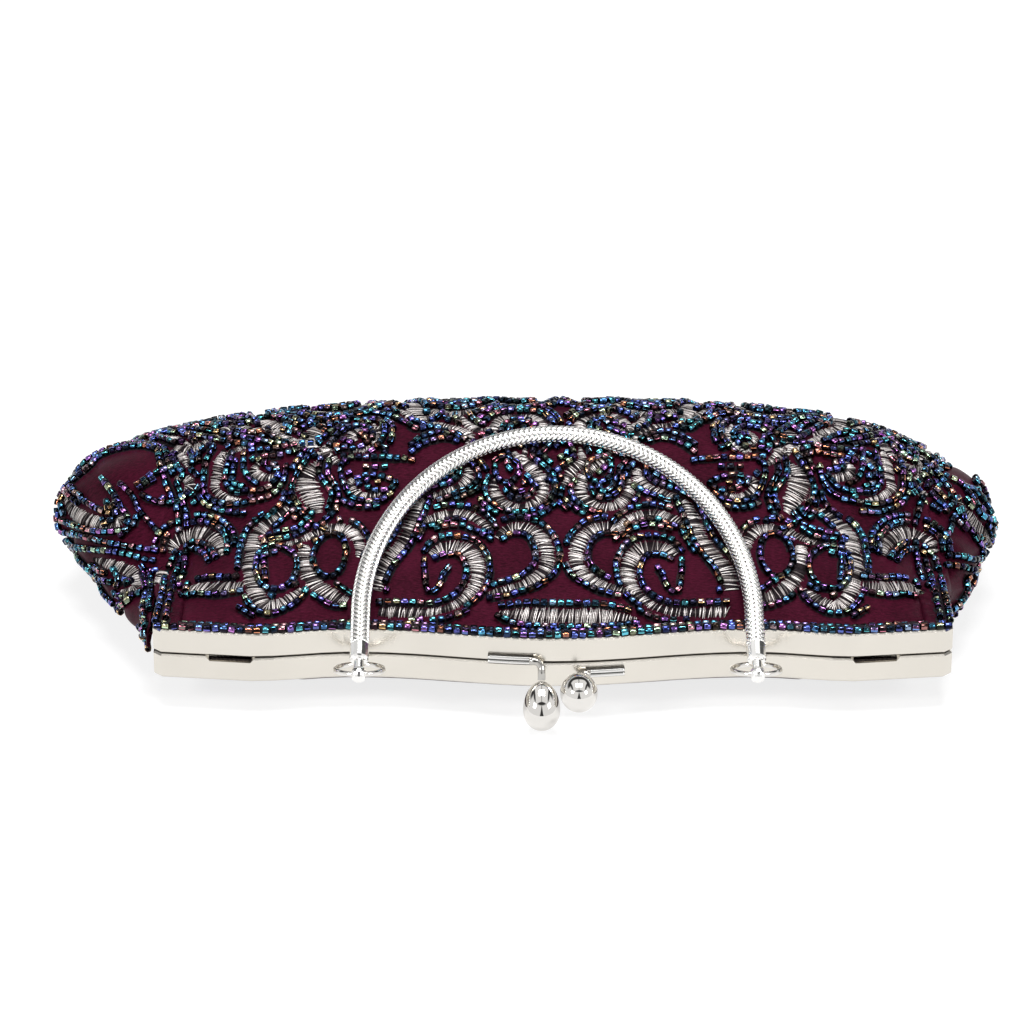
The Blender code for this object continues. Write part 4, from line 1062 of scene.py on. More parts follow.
def lining_grid(side, rows=60, columns=81):
    grid = np.zeros((rows, columns, 3))
    for r in range(rows):
        depth = mix(LINING_START, BODY_DEPTH - LINING_END_SHORT, r / (rows - 1))
        for c in range(columns):
            share = math.sin(0.5 * math.pi * (2.0 * c / (columns - 1) - 1.0))
            reach = panel_reach(depth, -1 if share < 0.0 else 1)
            x = share * (min(reach, PANEL_WIDTH_BEHIND_ARMS) - LINING_INSET)
            edge = girth_height(depth) + side * (0.5 * FIT_GAP + LINING_THICKNESS)
            under = panel_height(x, depth, side) - side * (PANEL_THICKNESS + LINING_GAP)
            round_share = (1.0 - abs(share) ** LINING_POWER) ** FULL_ROOT
            fold = LINING_FOLD_HEIGHT * math.sin(x * 260.0 + 3.0 * math.sin(depth * 120.0)) * round_share
            height = mix(edge, under, round_share) - side * (LINING_CLOTH_THICKNESS + abs(fold))
            grid[r, c] = body_point(x, depth, height)
    return grid


def make_lining():
    """The lining's pieces, with their measures and what they rest on."""
    made = []
    for half, side, attach, nodes in (
        ("front", 1, on_front, ("lining_front_top", "lining_front")),
        ("back", -1, on_back, ("lining_back",)),
    ):
        grid = lining_grid(side)
        item, *measures = cloth_object(f"lining_cloth_{half}", grid, LINING_CLOTH_THICKNESS, lining, side)
        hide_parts(*nodes)
        attach(item)
        made.append((item, *measures, [f"satin_{half}"]))
    return made


for item, width, length, area, rests in make_cloth() + make_lining():
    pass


# Scrolls of the beadwork: centre lines in pixels, with full widths in millimetres

LEFT_SCROLLS = {
    "arch": (((170, 553), (175, 543), (185, 536.5), (198, 533), (210, 535.5), (219, 544), (222.5, 556)),
             (1.5, 3.5, 4, 4, 4, 3.2, 1)),
    "near_leaf": (((181, 592), (191, 589.5), (205, 588), (225, 588), (243, 586)),
                  (1, 4.5, 5.2, 5, 3.5)),
    "stem": (((288, 509), (279, 514.5), (269, 522.5), (258.5, 532), (254, 542), (252, 556), (251.5, 570),
              (253, 584), (258, 597), (267, 606), (280, 603.5), (292, 597), (300.5, 589.5)),
             (2, 3.2, 4, 4.4, 4.4, 4.6, 5, 4.6, 4.4, 4.2, 3.6, 3, 1.2)),
    "branch": (((258, 552), (270, 548.5), (286, 545), (301, 540), (311, 535.5), (322, 530.5), (334, 528.5),
                (346, 529.5), (355, 536), (360, 546), (358, 557)),
               (1.5, 3, 2.4, 2, 3, 3.6, 3.6, 3.6, 3.6, 3.2, 1.2)),
    "drop": (((304.5, 545), (305, 559), (308, 573), (315.5, 584), (325.5, 591.5), (335.5, 597), (347, 601)),
             (3, 4.2, 4.6, 4.8, 4.8, 4.4, 2.5)),
    "handle_stem": (((419, 503), (414, 518), (410, 532), (401, 546.5), (390.5, 558), (380, 573),
                     (374.5, 590)),
                    (2.5, 4.6, 5, 5, 5, 5, 4.5)),
    "spiral": (((430, 556), (441, 549), (453.5, 547), (467, 550), (476.5, 562), (478, 576), (473, 589),
                (463.5, 599), (452, 606.5), (432, 612), (402, 612.5), (379, 612)),
               (2, 4.4, 4.8, 4.8, 4.4, 4, 3.6, 3, 2.6, 2.6, 3.4, 3)),
    "fern": (((420, 525), (434, 518.5), (452, 513.5), (471, 516.5), (484, 524.5), (490, 531)),
             (2, 3.4, 3.2, 3.2, 2.6, 1.2)),
    "hook": (((420, 503), (432, 497), (447, 491.5), (460, 486), (469, 477), (467, 468)),
             (2, 2.6, 2.4, 2.6, 3.4, 1.5)),
    "far_bend": (((224, 451), (219, 463), (216.5, 477), (215, 489), (223, 496), (237, 501), (250, 503)),
                 (1.5, 3, 3.2, 2.8, 2.4, 2, 1)),
    "far_curl": (((259, 463), (254.5, 471), (260, 476.5), (272, 478), (280, 475)), (1.5, 3.2, 3.2, 2.6, 1)),
    "big_leaf": (((318, 462), (309, 474), (307.5, 488), (314, 501), (319, 513)), (1.2, 5, 6.4, 5.4, 2)),
    "top_leaf": (((273, 433.5), (287, 438), (304, 446.5)), (1, 2.4, 1)),
    "top_fork": (((331, 443), (325, 451), (333, 460), (342, 466)), (1, 3.4, 3, 1)),
    "inner_curl": (((355, 478), (349.5, 485), (356, 493), (368, 497), (381, 494)), (1.5, 3.2, 3, 2.4, 1)),
    "side_loop": (((176, 478), (186, 478.5), (190.5, 485), (187, 492), (178, 496)), (1.5, 3, 3.4, 3, 1.2)),
    "side_leaf": (((174, 451), (182, 457), (187, 467)), (1, 3, 1)),
    "rim_leaf": (((166, 437), (178, 440), (190, 446)), (1, 2.4, 1)),
    "top_hook": (((372, 430), (376, 436), (372, 444), (361, 453)), (1, 2.6, 2.6, 1)),
    "top_wave": (((461, 416), (467, 424), (480, 431), (493, 428)), (1, 2.6, 2.6, 1)),
    "loop_arm": (((374, 425), (378, 436), (372, 447), (352, 452)), (1, 2.8, 2.4, 1)),
    "notch_leaf": (((317, 455), (326, 449), (331, 455)), (1, 3.0, 1)),
    "point_leaf": (((274, 429), (284, 439), (300, 444), (312, 449)), (1, 3.4, 2.6, 1)),
    "far_ess": (((228, 421), (240, 428), (256, 431), (268, 426)), (1, 2.8, 2.8, 1)),
    "far_tip": (((400, 411), (411, 417), (425, 419), (437, 414)), (1, 2.8, 2.8, 1)),
    "top_drop": (((526, 448), (524, 462), (535, 472), (543, 486)), (1, 3.0, 3.4, 2)),
}
CENTRE_SCROLLS = {
    "centre_bend": (((497, 538), (503, 531.5), (513, 527.5), (524, 527.5), (537, 533), (546, 547),
                     (547, 563.5), (537, 577.5), (521, 585.5), (503, 590), (488, 594)),
                    (1.5, 3.2, 3.8, 3.8, 3.8, 4.2, 4.2, 3.8, 3.2, 2.6, 1.5)),
    "upper_curl": (((495, 480), (494, 489), (499, 499), (509, 506), (522, 507.5), (535, 503), (543, 492),
                    (541, 478), (531, 467), (520, 460), (514, 452)),
                   (1.2, 3, 3.4, 3.4, 3, 3, 3.4, 3.6, 3.4, 2.8, 1.5)),
}
MIDDLE_SCROLLS = {
    "low_leaf": (((500, 612), (520, 614.5), (545, 615.5), (575, 616), (605, 616.5), (622, 617.5),
                  (636, 619)),
                 (1, 4.2, 5.2, 5.2, 4.6, 3, 1)),
}
LEFT_GUSSET_SCROLLS = {
    "gusset_leaf": (((66, 500), (72, 510), (82, 518), (95, 522), (109, 524.5), (121, 521), (118, 510),
                     (113, 500)),
                    (1.5, 4.2, 4.2, 4, 3.8, 3.6, 3, 1)),
    "gusset_lower": (((94, 559), (108.5, 564), (121, 567.5), (132, 573), (138, 583), (131, 590),
                      (121, 592)),
                     (1, 3, 3.6, 3.8, 3.6, 3, 1)),
    "gusset_root": (((165, 567), (160, 576), (155, 585)), (1.5, 4, 1.2)),
}
RIGHT_GUSSET_SCROLLS = {
    "gusset_leaf_right": (((960, 500), (963, 510), (972, 521), (981, 532), (989, 541)),
                           (1, 3.6, 4.4, 4.2, 1)),
}
LEFT_ROWS = {
    "near_eye": ((256, 571), (258, 559), (265, 551), (275, 547.5), (286, 550), (295, 557), (297.5, 567),
                 (294, 579), (287, 587), (276, 591), (264, 588), (258, 580), (256, 571)),
    "far_eye": ((315, 552), (319, 543), (326, 537), (335, 535.5), (343, 540), (346, 549), (345, 560),
                (341, 570),
                (333, 578), (323, 577), (316, 569), (313, 560), (315, 552)),
    "spiral_tail": ((424.5, 562), (424.5, 572), (425.5, 582), (427, 590), (432.6, 594), (440.5, 586),
                    (442.5, 578), (448, 570)),
    "near_row": ((240, 610), (252, 617)),
    "under_stem": ((262, 540), (272, 536), (284, 533), (296, 530), (305, 524), (312, 516)),
    "under_leaf": ((299, 512), (306, 520), (314, 527), (324, 531)),
    "leaf_cross": ((296, 520), (306, 524), (318, 528), (326, 521), (332, 516)),
    "side_row": ((141, 489), (150, 483), (163, 477), (172, 470)),
    "side_inner": ((155, 480), (165, 476), (178, 470), (184, 474), (180, 482), (170, 492), (163, 500)),
    "bend_outer": ((214, 449.6), (206, 466), (204.7, 488), (209, 497.5), (218, 503), (232, 505.7),
                   (248, 503.8),
                   (265, 500), (276, 493.5), (284, 482.5), (286.7, 469)),
    "bend_inner": ((232, 455), (226.5, 474), (226.5, 485), (235, 493.4), (245.7, 492), (259, 492),
                   (270, 488), (278.5, 477)),
    "curl_outer": ((244.3, 456.5), (244.3, 469), (249.8, 479.7), (258, 485), (270, 489)),
    "curl_top": ((252.5, 452.4), (267.5, 451), (281, 450), (297, 446), (311, 445)),
    "curl_in": ((259, 460.6), (265, 458), (281, 456.5)),
    "leaf_left": ((311, 453.8), (303, 466), (295, 479.7), (292, 493.4), (299, 507), (307, 518),
                  (314, 523.5)),
    "leaf_left_b": ((304, 452), (296, 465), (288.5, 479), (285.5, 493), (283, 503), (276, 511), (268, 518)),
    "leaf_right": ((321, 460.6), (319.5, 474), (326, 485), (332, 496), (329, 510)),
    "leaf_right_b": ((329, 463), (328, 474), (334, 484), (339, 497), (336, 511), (340, 522)),
    "loop_ring": ((330.4, 447), (338.6, 436), (352, 429), (368.7, 430.5), (373, 438.7), (366, 445.6),
                  (355, 449.7),
                  (341.3, 448.3), (330.4, 447)),
    "loop_outer": ((357.7, 422.3), (376.9, 422.3), (385, 430.5), (382.3, 441.5), (376.9, 447),
                   (385, 449.7)),
    "loop_low": ((344, 457.9), (363, 459), (382.3, 459), (404, 460.6), (412.4, 462)),
    "hook_outer": ((342.7, 460.6), (341.3, 474), (345.4, 488), (352, 499), (368.7, 503), (382.3, 501.6),
                   (390.5, 496)),
    "hook_inner": ((357.7, 479.7), (366, 477), (377, 477), (388, 479.7), (396, 485), (390.5, 490.7),
                   (377, 492),
                   (368.7, 489)),
    "hook_short": ((366, 468.8), (385, 468.3)),
    "cross_a": ((286.7, 427.8), (300.3, 436), (311.3, 441.5), (325, 438.7), (338.6, 430.5), (349, 424),
                (361, 421)),
    "cross_b": ((311, 424), (322, 431), (330, 437)),
    "band_a": ((185, 436), (199, 438), (214, 441), (228, 444), (245, 446), (259, 449)),
    "band_b": ((190, 431), (205, 433), (220, 435), (236, 438), (250, 441), (266, 444)),
    "band_c": ((203, 427), (219, 427), (236, 427), (250, 425), (262, 420), (275, 418)),
    "right_of_loop": ((412, 446), (420, 440), (430, 436), (443, 433), (455, 436), (465, 441)),
    "right_loop_b": ((412, 453), (422, 446), (433, 442), (446, 440), (457, 443)),
    "patch_edge": ((377, 416), (390, 418), (404, 424), (417, 431), (430, 429)),
    "drop_ring": ((495, 462), (503, 458), (513, 461), (519, 468), (517, 478), (509, 484), (500, 482),
                  (495, 474), (495, 462)),
    "drop_row": ((536, 447), (532, 457), (541, 465), (551, 474), (555, 487), (551, 500), (541, 510)),
    "arm_row_a": ((173, 561), (165, 582), (161, 603), (157, 622)),
    "arm_row_b": ((181, 563), (173, 587), (168, 609), (165, 625)),
    "handle_outer": ((430, 500), (424, 514), (418, 528), (412, 543), (403, 556), (392, 569), (386, 582)),
    "inner_arch": ((437, 531), (447, 528), (458, 527), (468, 529), (480, 535), (490, 541)),
    "low_row": ((381, 622), (402, 622.5), (425, 622), (446, 620), (466, 612)),
}
LEFT_GUSSET_ROWS = {
    "gusset_upper": ((56, 528.6), (80, 535), (104, 542), (128, 547), (152, 551), (170.6, 555)),
    "gusset_under": ((60, 542), (80, 547), (106.6, 551), (128, 555), (146.6, 560.6), (168, 563)),
    "gusset_third": ((65, 520.6), (88, 530), (106.6, 532.6), (128, 531)),
    "gusset_over": ((84, 500), (96, 508), (104, 512)),
    "gusset_top_a": ((104, 480.6), (112, 491), (120, 504.6), (128, 518)),
    "gusset_top_b": ((122.6, 486), (133, 496.6), (141, 512.6), (154.6, 528.6), (168, 542), (176, 552.6)),
    "gusset_top_c": ((136, 500), (144, 510), (152, 520), (162, 531)),
    "gusset_loop": ((138.6, 486), (154.6, 475), (170.6, 470), (178.6, 467)),
    "gusset_ring": ((144, 496.6), (154.6, 502), (168, 504.6), (181, 502), (189, 494)),
    "gusset_low": ((69, 555), (85, 566), (93, 574)),
    "gusset_low_b": ((114.6, 571), (120, 582), (117, 595), (128, 596.6), (141, 595)),
    "gusset_low_c": ((88, 574), (93, 587), (98.6, 598), (105, 606)),
    "gusset_root_a": ((142.6, 576.6), (146.6, 592.6), (145, 611), (149, 630)),
    "gusset_root_b": ((150, 574), (153, 590), (150, 606), (153, 622)),
    "gusset_corner": ((143.5, 612), (145, 624), (147, 636), (148.5, 645)),
}
RIGHT_ROWS = {
    "side_brown": ((912, 486), (920, 494), (928, 504), (938, 512)),
    "side_brown_b": ((918, 482), (926, 490), (934, 499), (944, 508)),
    "edge_rows": ((908, 451), (920, 455), (929, 462), (935, 472), (941, 482), (948, 490), (955, 500)),
}
RIGHT_GUSSET_ROWS = {
    "gusset_upper_right": ((934, 559), (948, 557), (960, 557), (972, 560), (984, 556)),
    "gusset_under_right": ((929, 567), (945, 566), (960, 567), (973, 569), (983, 565)),
    "gusset_leaf_low": ((960, 510), (964, 524), (972, 534), (984, 542), (990, 548)),
    "gusset_leaf_top": ((966, 494), (972, 500), (978, 514), (984, 518)),
    "gusset_leaf_rim": ((962, 488), (972, 492), (980, 500), (988, 512)),
    "gusset_seam_right": ((945, 512), (951, 505), (956, 500)),
    "gusset_seam_low": ((938, 545), (946, 536), (950, 524), (948, 514)),
}

THINNEST_STITCH_MM = 0.6
BODY_MIDDLE = place(0.0, 0.062, 0.006)
NORMAL_SPREAD = 5
RIBBON_STEP = 0.0005
RIBBON_GRIP_SHARE = 0.85
BORDER_GAP = 0.00025
BORDER_ROW_GAP = 0.0002
LIP_NORMAL = np.array((0.0, -0.25, 0.97))
LIP_SHADE_STRIP_OFFSET = np.array((0.0, 0.0009, 0.0004))
LIP_SHADE_STRIP_SHIFTS = (-0.0002, 0.0014)


def smooth_line(points, widths=None, steps=14):
    """A smooth line through the points, with widths alongside."""
    p = np.array(points, float)
    w = np.ones(len(p)) if widths is None else np.array(widths, float)
    q = np.column_stack([p, w])
    padded = np.vstack([2 * q[0] - q[1], q, 2 * q[-1] - q[-2]])
    out = []
    for i in range(1, len(padded) - 2):
        a, b, c, d = padded[i - 1], padded[i], padded[i + 1], padded[i + 2]
        for k in range(steps):
            t = k / steps
            bend = 2 * a - 5 * b + 4 * c - d
            twist = 3 * b - 3 * c + d - a
            out.append(0.5 * (2 * b + (c - a) * t + bend * t * t + twist * t**3))
    out.append(padded[-2])
    out = np.array(out)
    return out[:, :-1], out[:, -1]


def resample(points, values, step):
    """Points at even steps along a line, with the values alongside."""
    lengths = np.linalg.norm(np.diff(points, axis=0), axis=1)
    total = np.concatenate([[0.0], np.cumsum(lengths)])
    if total[-1] < step:
        return None, None
    count = max(int(round(total[-1] / step)), 1)
    at = np.linspace(0.0, total[-1], count + 1)
    made = np.stack([np.interp(at, total, points[:, k]) for k in range(3)], 1)
    return made, np.interp(at, total, values)


def cast_line(points, widths, surface):
    """The line as it lies on the body, cast from the camera."""
    flat, wide = smooth_line(points, widths)
    placed = []
    kept = []
    origin = Vector(CAMERA_PLACE)
    for (u, v), w in zip(flat, wide):
        hit = surface.ray_cast(origin, pixel_ray(u, v))[0]
        if hit is not None:
            placed.append(tuple(hit))
            kept.append(max(w, THINNEST_STITCH_MM) / 1000.0)
    if len(placed) < 4:
        return None
    return np.array(placed), np.array(kept)


def frames_on(points, surface):
    """Tangent, normal and side of each point of a line that lies on the surface."""
    tangents = unit(np.gradient(points, axis=0))
    normals = np.array([tuple(surface.find_nearest(Vector(p))[1]) for p in points])
    outward = np.sign(np.einsum("ij,ij->i", normals, points - np.array(BODY_MIDDLE)))
    normals *= np.where(outward == 0.0, 1.0, outward)[:, None]
    if len(normals) > NORMAL_SPREAD + 1:
        kernel = np.ones(NORMAL_SPREAD) / NORMAL_SPREAD
        padded = np.pad(normals, ((NORMAL_SPREAD // 2, NORMAL_SPREAD // 2), (0, 0)), mode="edge")
        normals = np.stack([np.convolve(padded[:, k], kernel, "valid") for k in range(3)], 1)
    normals = unit(normals - tangents * np.einsum("ij,ij->i", normals, tangents)[:, None])
    return tangents, normals, np.cross(normals, tangents)


def settle(points, surface):
    return np.array([tuple(surface.find_nearest(Vector(p))[0]) for p in points])


def lip_line(steps=240):
    """A line on top of the frame's channel, a little behind its front edge."""
    spots = []
    for x in np.linspace(-LIP_ROW_HALF_WIDTH, LIP_ROW_HALF_WIDTH, steps):
        spots.append(tuple(place(float(x), face_wave(float(x)) + LIP_ROW_FROM_EDGE, LIP_ROW_HEIGHT)))
    return np.array(spots)


def front_depth(points):
    return points[:, 1] + FACE_TO_ORIGIN


def cell_of(p, size):
    return (int(p[0] // size), int(p[1] // size), int(p[2] // size))


def nearby(cells, p, size):
    """What is kept in the cell of a point and in the cells round it."""
    i, j, k = cell_of(p, size)
    for a in (-1, 0, 1):
        for b in (-1, 0, 1):
            for c in (-1, 0, 1):
                yield from cells.get((i + a, j + b, k + c), ())


def kept_runs(placed, widths):
    """The longest run of points that met the surface."""
    best = (0, 0)
    start = None
    for index, spot in enumerate(list(placed) + [None]):
        if spot is not None and start is None:
            start = index
        if spot is None and start is not None:
            if index - start > best[1] - best[0]:
                best = (start, index)
            start = None
    if best[1] - best[0] < 4:
        return None
    return np.array(placed[best[0] : best[1]]), widths[best[0] : best[1]]


class Work:
    """Beads and stitches of one zone of the body, gathered before they become meshes."""

    def __init__(self, surface):
        self.surface = surface
        self.beads = []
        self.cells = {}
        self.ribbons = []
        self.ribbon_cells = {}
        self.sewn = []
        self.rows_waiting = []

    def near_bead(self, p):
        limit = BEAD_CLEARANCE * BEAD_CLEARANCE
        for other in nearby(self.cells, p, BEAD_CLEARANCE):
            if (other[0] - p[0]) ** 2 + (other[1] - p[1]) ** 2 + (other[2] - p[2]) ** 2 < limit:
                return True
        return False

    def on_ribbon(self, p, owner):
        for other, half, name in nearby(self.ribbon_cells, p, RIBBON_CELL):
            if name != owner and np.sum((other - p) ** 2) < (half * RIBBON_GRIP_SHARE) ** 2:
                return True
        return False

    def add_ribbon(self, name, points, widths):
        line, wide = resample(points, widths, RIBBON_STEP)
        if line is None or len(line) < 4:
            return
        self.ribbons.append((name, line, wide))
        for p, w in zip(line, wide):
            self.ribbon_cells.setdefault(cell_of(p, RIBBON_CELL), []).append((p, 0.5 * w, name))

    def add_row(self, points, owner=""):
        """Beads along a line, except where others lie; a row of the owner * may cross the stitching."""
        line, _ = resample(points, np.zeros(len(points)), BEAD_PITCH)
        if line is None or len(line) < 2:
            return
        line = settle(line, self.surface)
        tangents, normals, sides = frames_on(line, self.surface)
        runs = []
        run = []
        for index, (p, t, n, s) in enumerate(zip(line, tangents, normals, sides)):
            if self.near_bead(p) or (owner != "*" and self.on_ribbon(p, owner)):
                run = []
                continue
            if not run:
                runs.append(run)
            run.append(index)
            self.cells.setdefault(cell_of(p, BEAD_CLEARANCE), []).append(tuple(p))
            self.beads.append((p, t, n, s))
        self.sewn += [(line[run], normals[run], sides[run]) for run in runs if len(run) > 1]

    def add_lip(self):
        """The row that lies on the frame's own edge, so no search for the cloth."""
        edge = lip_line()
        line, _ = resample(edge, np.zeros(len(edge)), BEAD_PITCH)
        tangents = unit(np.gradient(line, axis=0))
        for p, t in zip(line, tangents):
            self.beads.append((p, t, LIP_NORMAL, np.cross(LIP_NORMAL, t)))
        # Two dark strips on the channel's top: painted shade under the lip row.
        steady = np.repeat(LIP_NORMAL[None], len(line), 0)
        for shift in LIP_SHADE_STRIP_SHIFTS:
            shade_strip = line + LIP_SHADE_STRIP_OFFSET + np.array((0.0, shift, 0.0))
            self.sewn.append((shade_strip, steady, np.cross(steady, tangents)))

    def add_borders(self, ring=0):
        """A row of beads along each side of every ribbon, or a further one past the frame's arms."""
        for name, line, wide in self.ribbons:
            if ring and front_depth(line).mean() < DOUBLE_ROWS_FROM:
                continue
            tangents, normals, sides = frames_on(line, self.surface)
            for hand in (-1.0, 1.0):
                offset = 0.5 * wide + BEAD_RADIUS + BORDER_GAP + ring * (2.0 * BEAD_RADIUS + BORDER_ROW_GAP)
                row = line + sides * (hand * offset)[:, None]
                ahead = np.einsum("ij,ij->i", np.diff(row, axis=0), tangents[:-1])
                keep = np.concatenate([[True], ahead > 0.0])
                row = row[keep]
                if len(row) > 3:
                    self.add_row(row, name)

    def keep_only(self, test):
        """Drop the beads, the sewing and the stitching whose places fail the test."""
        self.beads = [bead for bead in self.beads if test(bead[0])]
        self.sewn = [run for run in self.sewn if all(test(p) for p in run[0])]
        kept = []
        for name, line, wide in self.ribbons:
            inside = [p if test(p) else None for p in line]
            run = kept_runs(inside, wide)
            if run is not None:
                kept.append((name, *run))
        self.ribbons = kept


BEAD_FLATS = 6
BEAD_SIDES = 2 * BEAD_FLATS
BEAD_EDGE_SHARE = 0.20
BEAD_PROFILE_SHARES = ((0.55, 0.42), (0.95, 0.48), (1.0, 0.86), (0.86, 1.0))
BEAD_TILT = 0.10
BEAD_SIZE_SHARES = (0.95, 1.05)
BEAD_LIFT_SHARES = (0.80, 0.98)
BEAD_LENGTH_SHARES = (0.88, 1.06)
PAINTED_GLINT_EDGE_SHARE = 0.50
BEAD_END_PAINTED_SHADE = 0.28


def bead_template():
    """One cut bead along X with a hole: six flats with narrow edges between, in units of its radius."""
    half = BEAD_LENGTH / BEAD_RADIUS * 0.5
    profile = [(-half * x, r) for x, r in BEAD_PROFILE_SHARES]
    profile += [(half * x, r) for x, r in reversed(BEAD_PROFILE_SHARES)]
    angles = []
    for index in range(BEAD_FLATS):
        first = 2.0 * math.pi * index / BEAD_FLATS
        angles += [first, first + 2.0 * math.pi * (1.0 - BEAD_EDGE_SHARE) / BEAD_FLATS]
    vertices = []
    for x, r in profile:
        for angle in angles:
            vertices.append((x, r * math.cos(angle), r * math.sin(angle)))
    faces = grid_quads(len(profile), BEAD_SIDES, wrap=True)
    last = (len(profile) - 1) * BEAD_SIDES
    closing = []
    for index in range(BEAD_SIDES):
        beside = (index + 1) % BEAD_SIDES
        closing.append((last + index, last + beside, beside, index))
    return np.array(vertices), np.concatenate([faces, np.array(closing)])[:, ::-1]


BEAD_VERTICES, BEAD_FACES = bead_template()
BEAD_FACE_SIDES = np.arange(len(BEAD_FACES)) % BEAD_SIDES
BEAD_END_FACES = np.isin(np.arange(len(BEAD_FACES)) // BEAD_SIDES, (0, 1, 5, 6, 7))
BEADS_PER_PIECE = 1000


def make_beads(name, work, attach):
    """The beads of one zone, in pieces of equal count, each bead with its own turn, size and painted light
    and shade on its faces.
    """
    for start in range(0, len(work.beads), BEADS_PER_PIECE):
        part = work.beads[start : start + BEADS_PER_PIECE]
        count = len(part)
        places, ahead, normals, aside = (np.array([bead[i] for bead in part]) for i in range(4))
        tilt = random.normal(0.0, BEAD_TILT, (count, 3))
        ahead = unit(ahead + (normals * tilt[:, :1] + aside * tilt[:, 1:2]))
        aside = unit(np.cross(ahead, normals))
        upright = np.cross(aside, ahead)
        turn = random.uniform(0.0, 2.0 * math.pi, count)
        spun_b = upright * np.cos(turn)[:, None] + aside * np.sin(turn)[:, None]
        spun_c = aside * np.cos(turn)[:, None] - upright * np.sin(turn)[:, None]
        size = BEAD_RADIUS * random.uniform(*BEAD_SIZE_SHARES, count)
        lift = places + normals * (BEAD_RADIUS * random.uniform(*BEAD_LIFT_SHARES, count))[:, None]
        local = BEAD_VERTICES[None] * size[:, None, None]
        local[:, :, 0] *= random.uniform(*BEAD_LENGTH_SHARES, count)[:, None]
        vertices = lift[:, None] + local[:, :, :1] * ahead[:, None]
        vertices += local[:, :, 1:2] * spun_b[:, None] + local[:, :, 2:] * spun_c[:, None]
        steps = np.arange(count)[:, None, None] * len(BEAD_VERTICES)
        faces = (BEAD_FACES[None] + steps).reshape(-1, 4)
        label = f"{name}_{start // BEADS_PER_PIECE + 1}"
        item = fast_object(label, vertices.reshape(-1, 3), faces, beads, smooth=False)
        add_values(item, "tint", np.repeat(random.uniform(0.0, 0.999, count), len(BEAD_VERTICES)))
        # Painted light on each face: random dark and bright flats, glints on lit edges, painted shade on the
        # ends.
        levels_with_painted_light = random.uniform(0.0, 0.92, (count, BEAD_SIDES))
        glint_edges = random.uniform(0.0, 1.0, (count, BEAD_FLATS)) < PAINTED_GLINT_EDGE_SHARE
        levels_with_painted_light[:, 1::2] = np.where(glint_edges, 0.97, 0.30)
        levels_with_painted_light = levels_with_painted_light[:, BEAD_FACE_SIDES]
        levels_with_painted_light[:, BEAD_END_FACES] *= BEAD_END_PAINTED_SHADE
        add_values(item, "flat", levels_with_painted_light.ravel(), "FACE")
        attach(item)


SHADE_SHEET_STEP = 0.0007
SHADE_SHEET_HALF_WIDTH_SHARE = 0.46
SHADE_SHEET_RISE_SHARE = 0.45
SHADE_SHEET_SUNK = 0.0002
STRAND_ROOT = 0.00024
STRAND_END_SHARES = (0.86, 1.16)
STRAND_LEAN = 0.16
STRAND_LEAN_SPREAD = 0.10
STRAND_WIDTH_SHARES = (0.75, 1.25)
STRAND_HEIGHT_SHARES = (0.55, 1.15)
# Strand levels vary at random; the darkest strands are painted shade for the gaps between strands. The
# profile paints each strand lit on its ridge and shaded at its roots.
STRAND_TONES_AND_PAINTED_GAPS = (0.04, 0.34, 0.62, 0.84, 1.0)
STRAND_TONE_AND_GAP_SHARES = (0.28, 0.16, 0.18, 0.18, 0.20)
STRAND_PROFILE_PAINTED_LIGHT = np.array([0.35, 1.0, 0.45])
# Width and heights of the dark sewing strips, wider than the beads as painted shade.
SEWING_SHADE_HALF_WIDTH = 0.00128
SEWING_SHADE_HEIGHTS = (-0.00005, 0.00020, -0.00005)
BASE_COLUMN_SHARES = np.array([-1.0, -0.7, 0.0, 0.7, 1.0])
STRAND_STATION_SHARES = np.array([-1.0, -0.78, -0.3, 0.3, 0.78, 1.0])


def ribbon_base(line, wide, surface):
    """A sheet in painted shade under the strands of one ribbon, which shows as dark gaps between them."""
    fine, fine_wide = resample(line, wide, SHADE_SHEET_STEP)
    _, normals, sides = frames_on(fine, surface)
    grid = np.zeros((len(fine), len(BASE_COLUMN_SHARES), 3))
    for c, share in enumerate(BASE_COLUMN_SHARES):
        spots = settle(fine + sides * (SHADE_SHEET_HALF_WIDTH_SHARE * fine_wide * share)[:, None], surface)
        rise = SHADE_SHEET_RISE_SHARE * STITCH_RISE * math.sqrt(max(1.0 - share * share, 0.0))
        sunk = SHADE_SHEET_SUNK if abs(share) == 1.0 else 0.0
        grid[:, c] = spots + normals * (rise - sunk)
    return grid


def strand_grid(line, wide, surface):
    """Strands that cross one ribbon, each a low tent with its own ends, lean and height."""
    fine, fine_wide = resample(line, wide, STRAND_PITCH)
    tangents, normals, sides = frames_on(fine, surface)
    count = len(fine)
    ends = {hand: random.uniform(*STRAND_END_SHARES, count) for hand in (-1.0, 1.0)}
    lean = random.normal(STRAND_LEAN, STRAND_LEAN_SPREAD, count)
    thick = STRAND_WIDTH * random.uniform(*STRAND_WIDTH_SHARES, count)
    high = random.uniform(*STRAND_HEIGHT_SHARES, count)
    grid = np.zeros((count, len(STRAND_STATION_SHARES), 3, 3))
    for c, share in enumerate(STRAND_STATION_SHARES):
        hand = -1.0 if share < 0.0 else 1.0
        reach = 0.5 * fine_wide * ends[hand] * share
        spots = settle(fine + sides * reach[:, None] + tangents * (lean * reach)[:, None], surface)
        arch = math.sqrt(max(1.0 - share * share, 0.0))
        rise = STITCH_RISE * (0.25 + 0.75 * arch) * high
        half = 0.5 * thick * (0.55 + 0.45 * arch)
        root = normals * (rise - STRAND_ROOT)[:, None]
        grid[:, c, 0] = spots - tangents * half[:, None] + root
        grid[:, c, 1] = spots + normals * rise[:, None]
        grid[:, c, 2] = spots + tangents * half[:, None] + root
    return grid


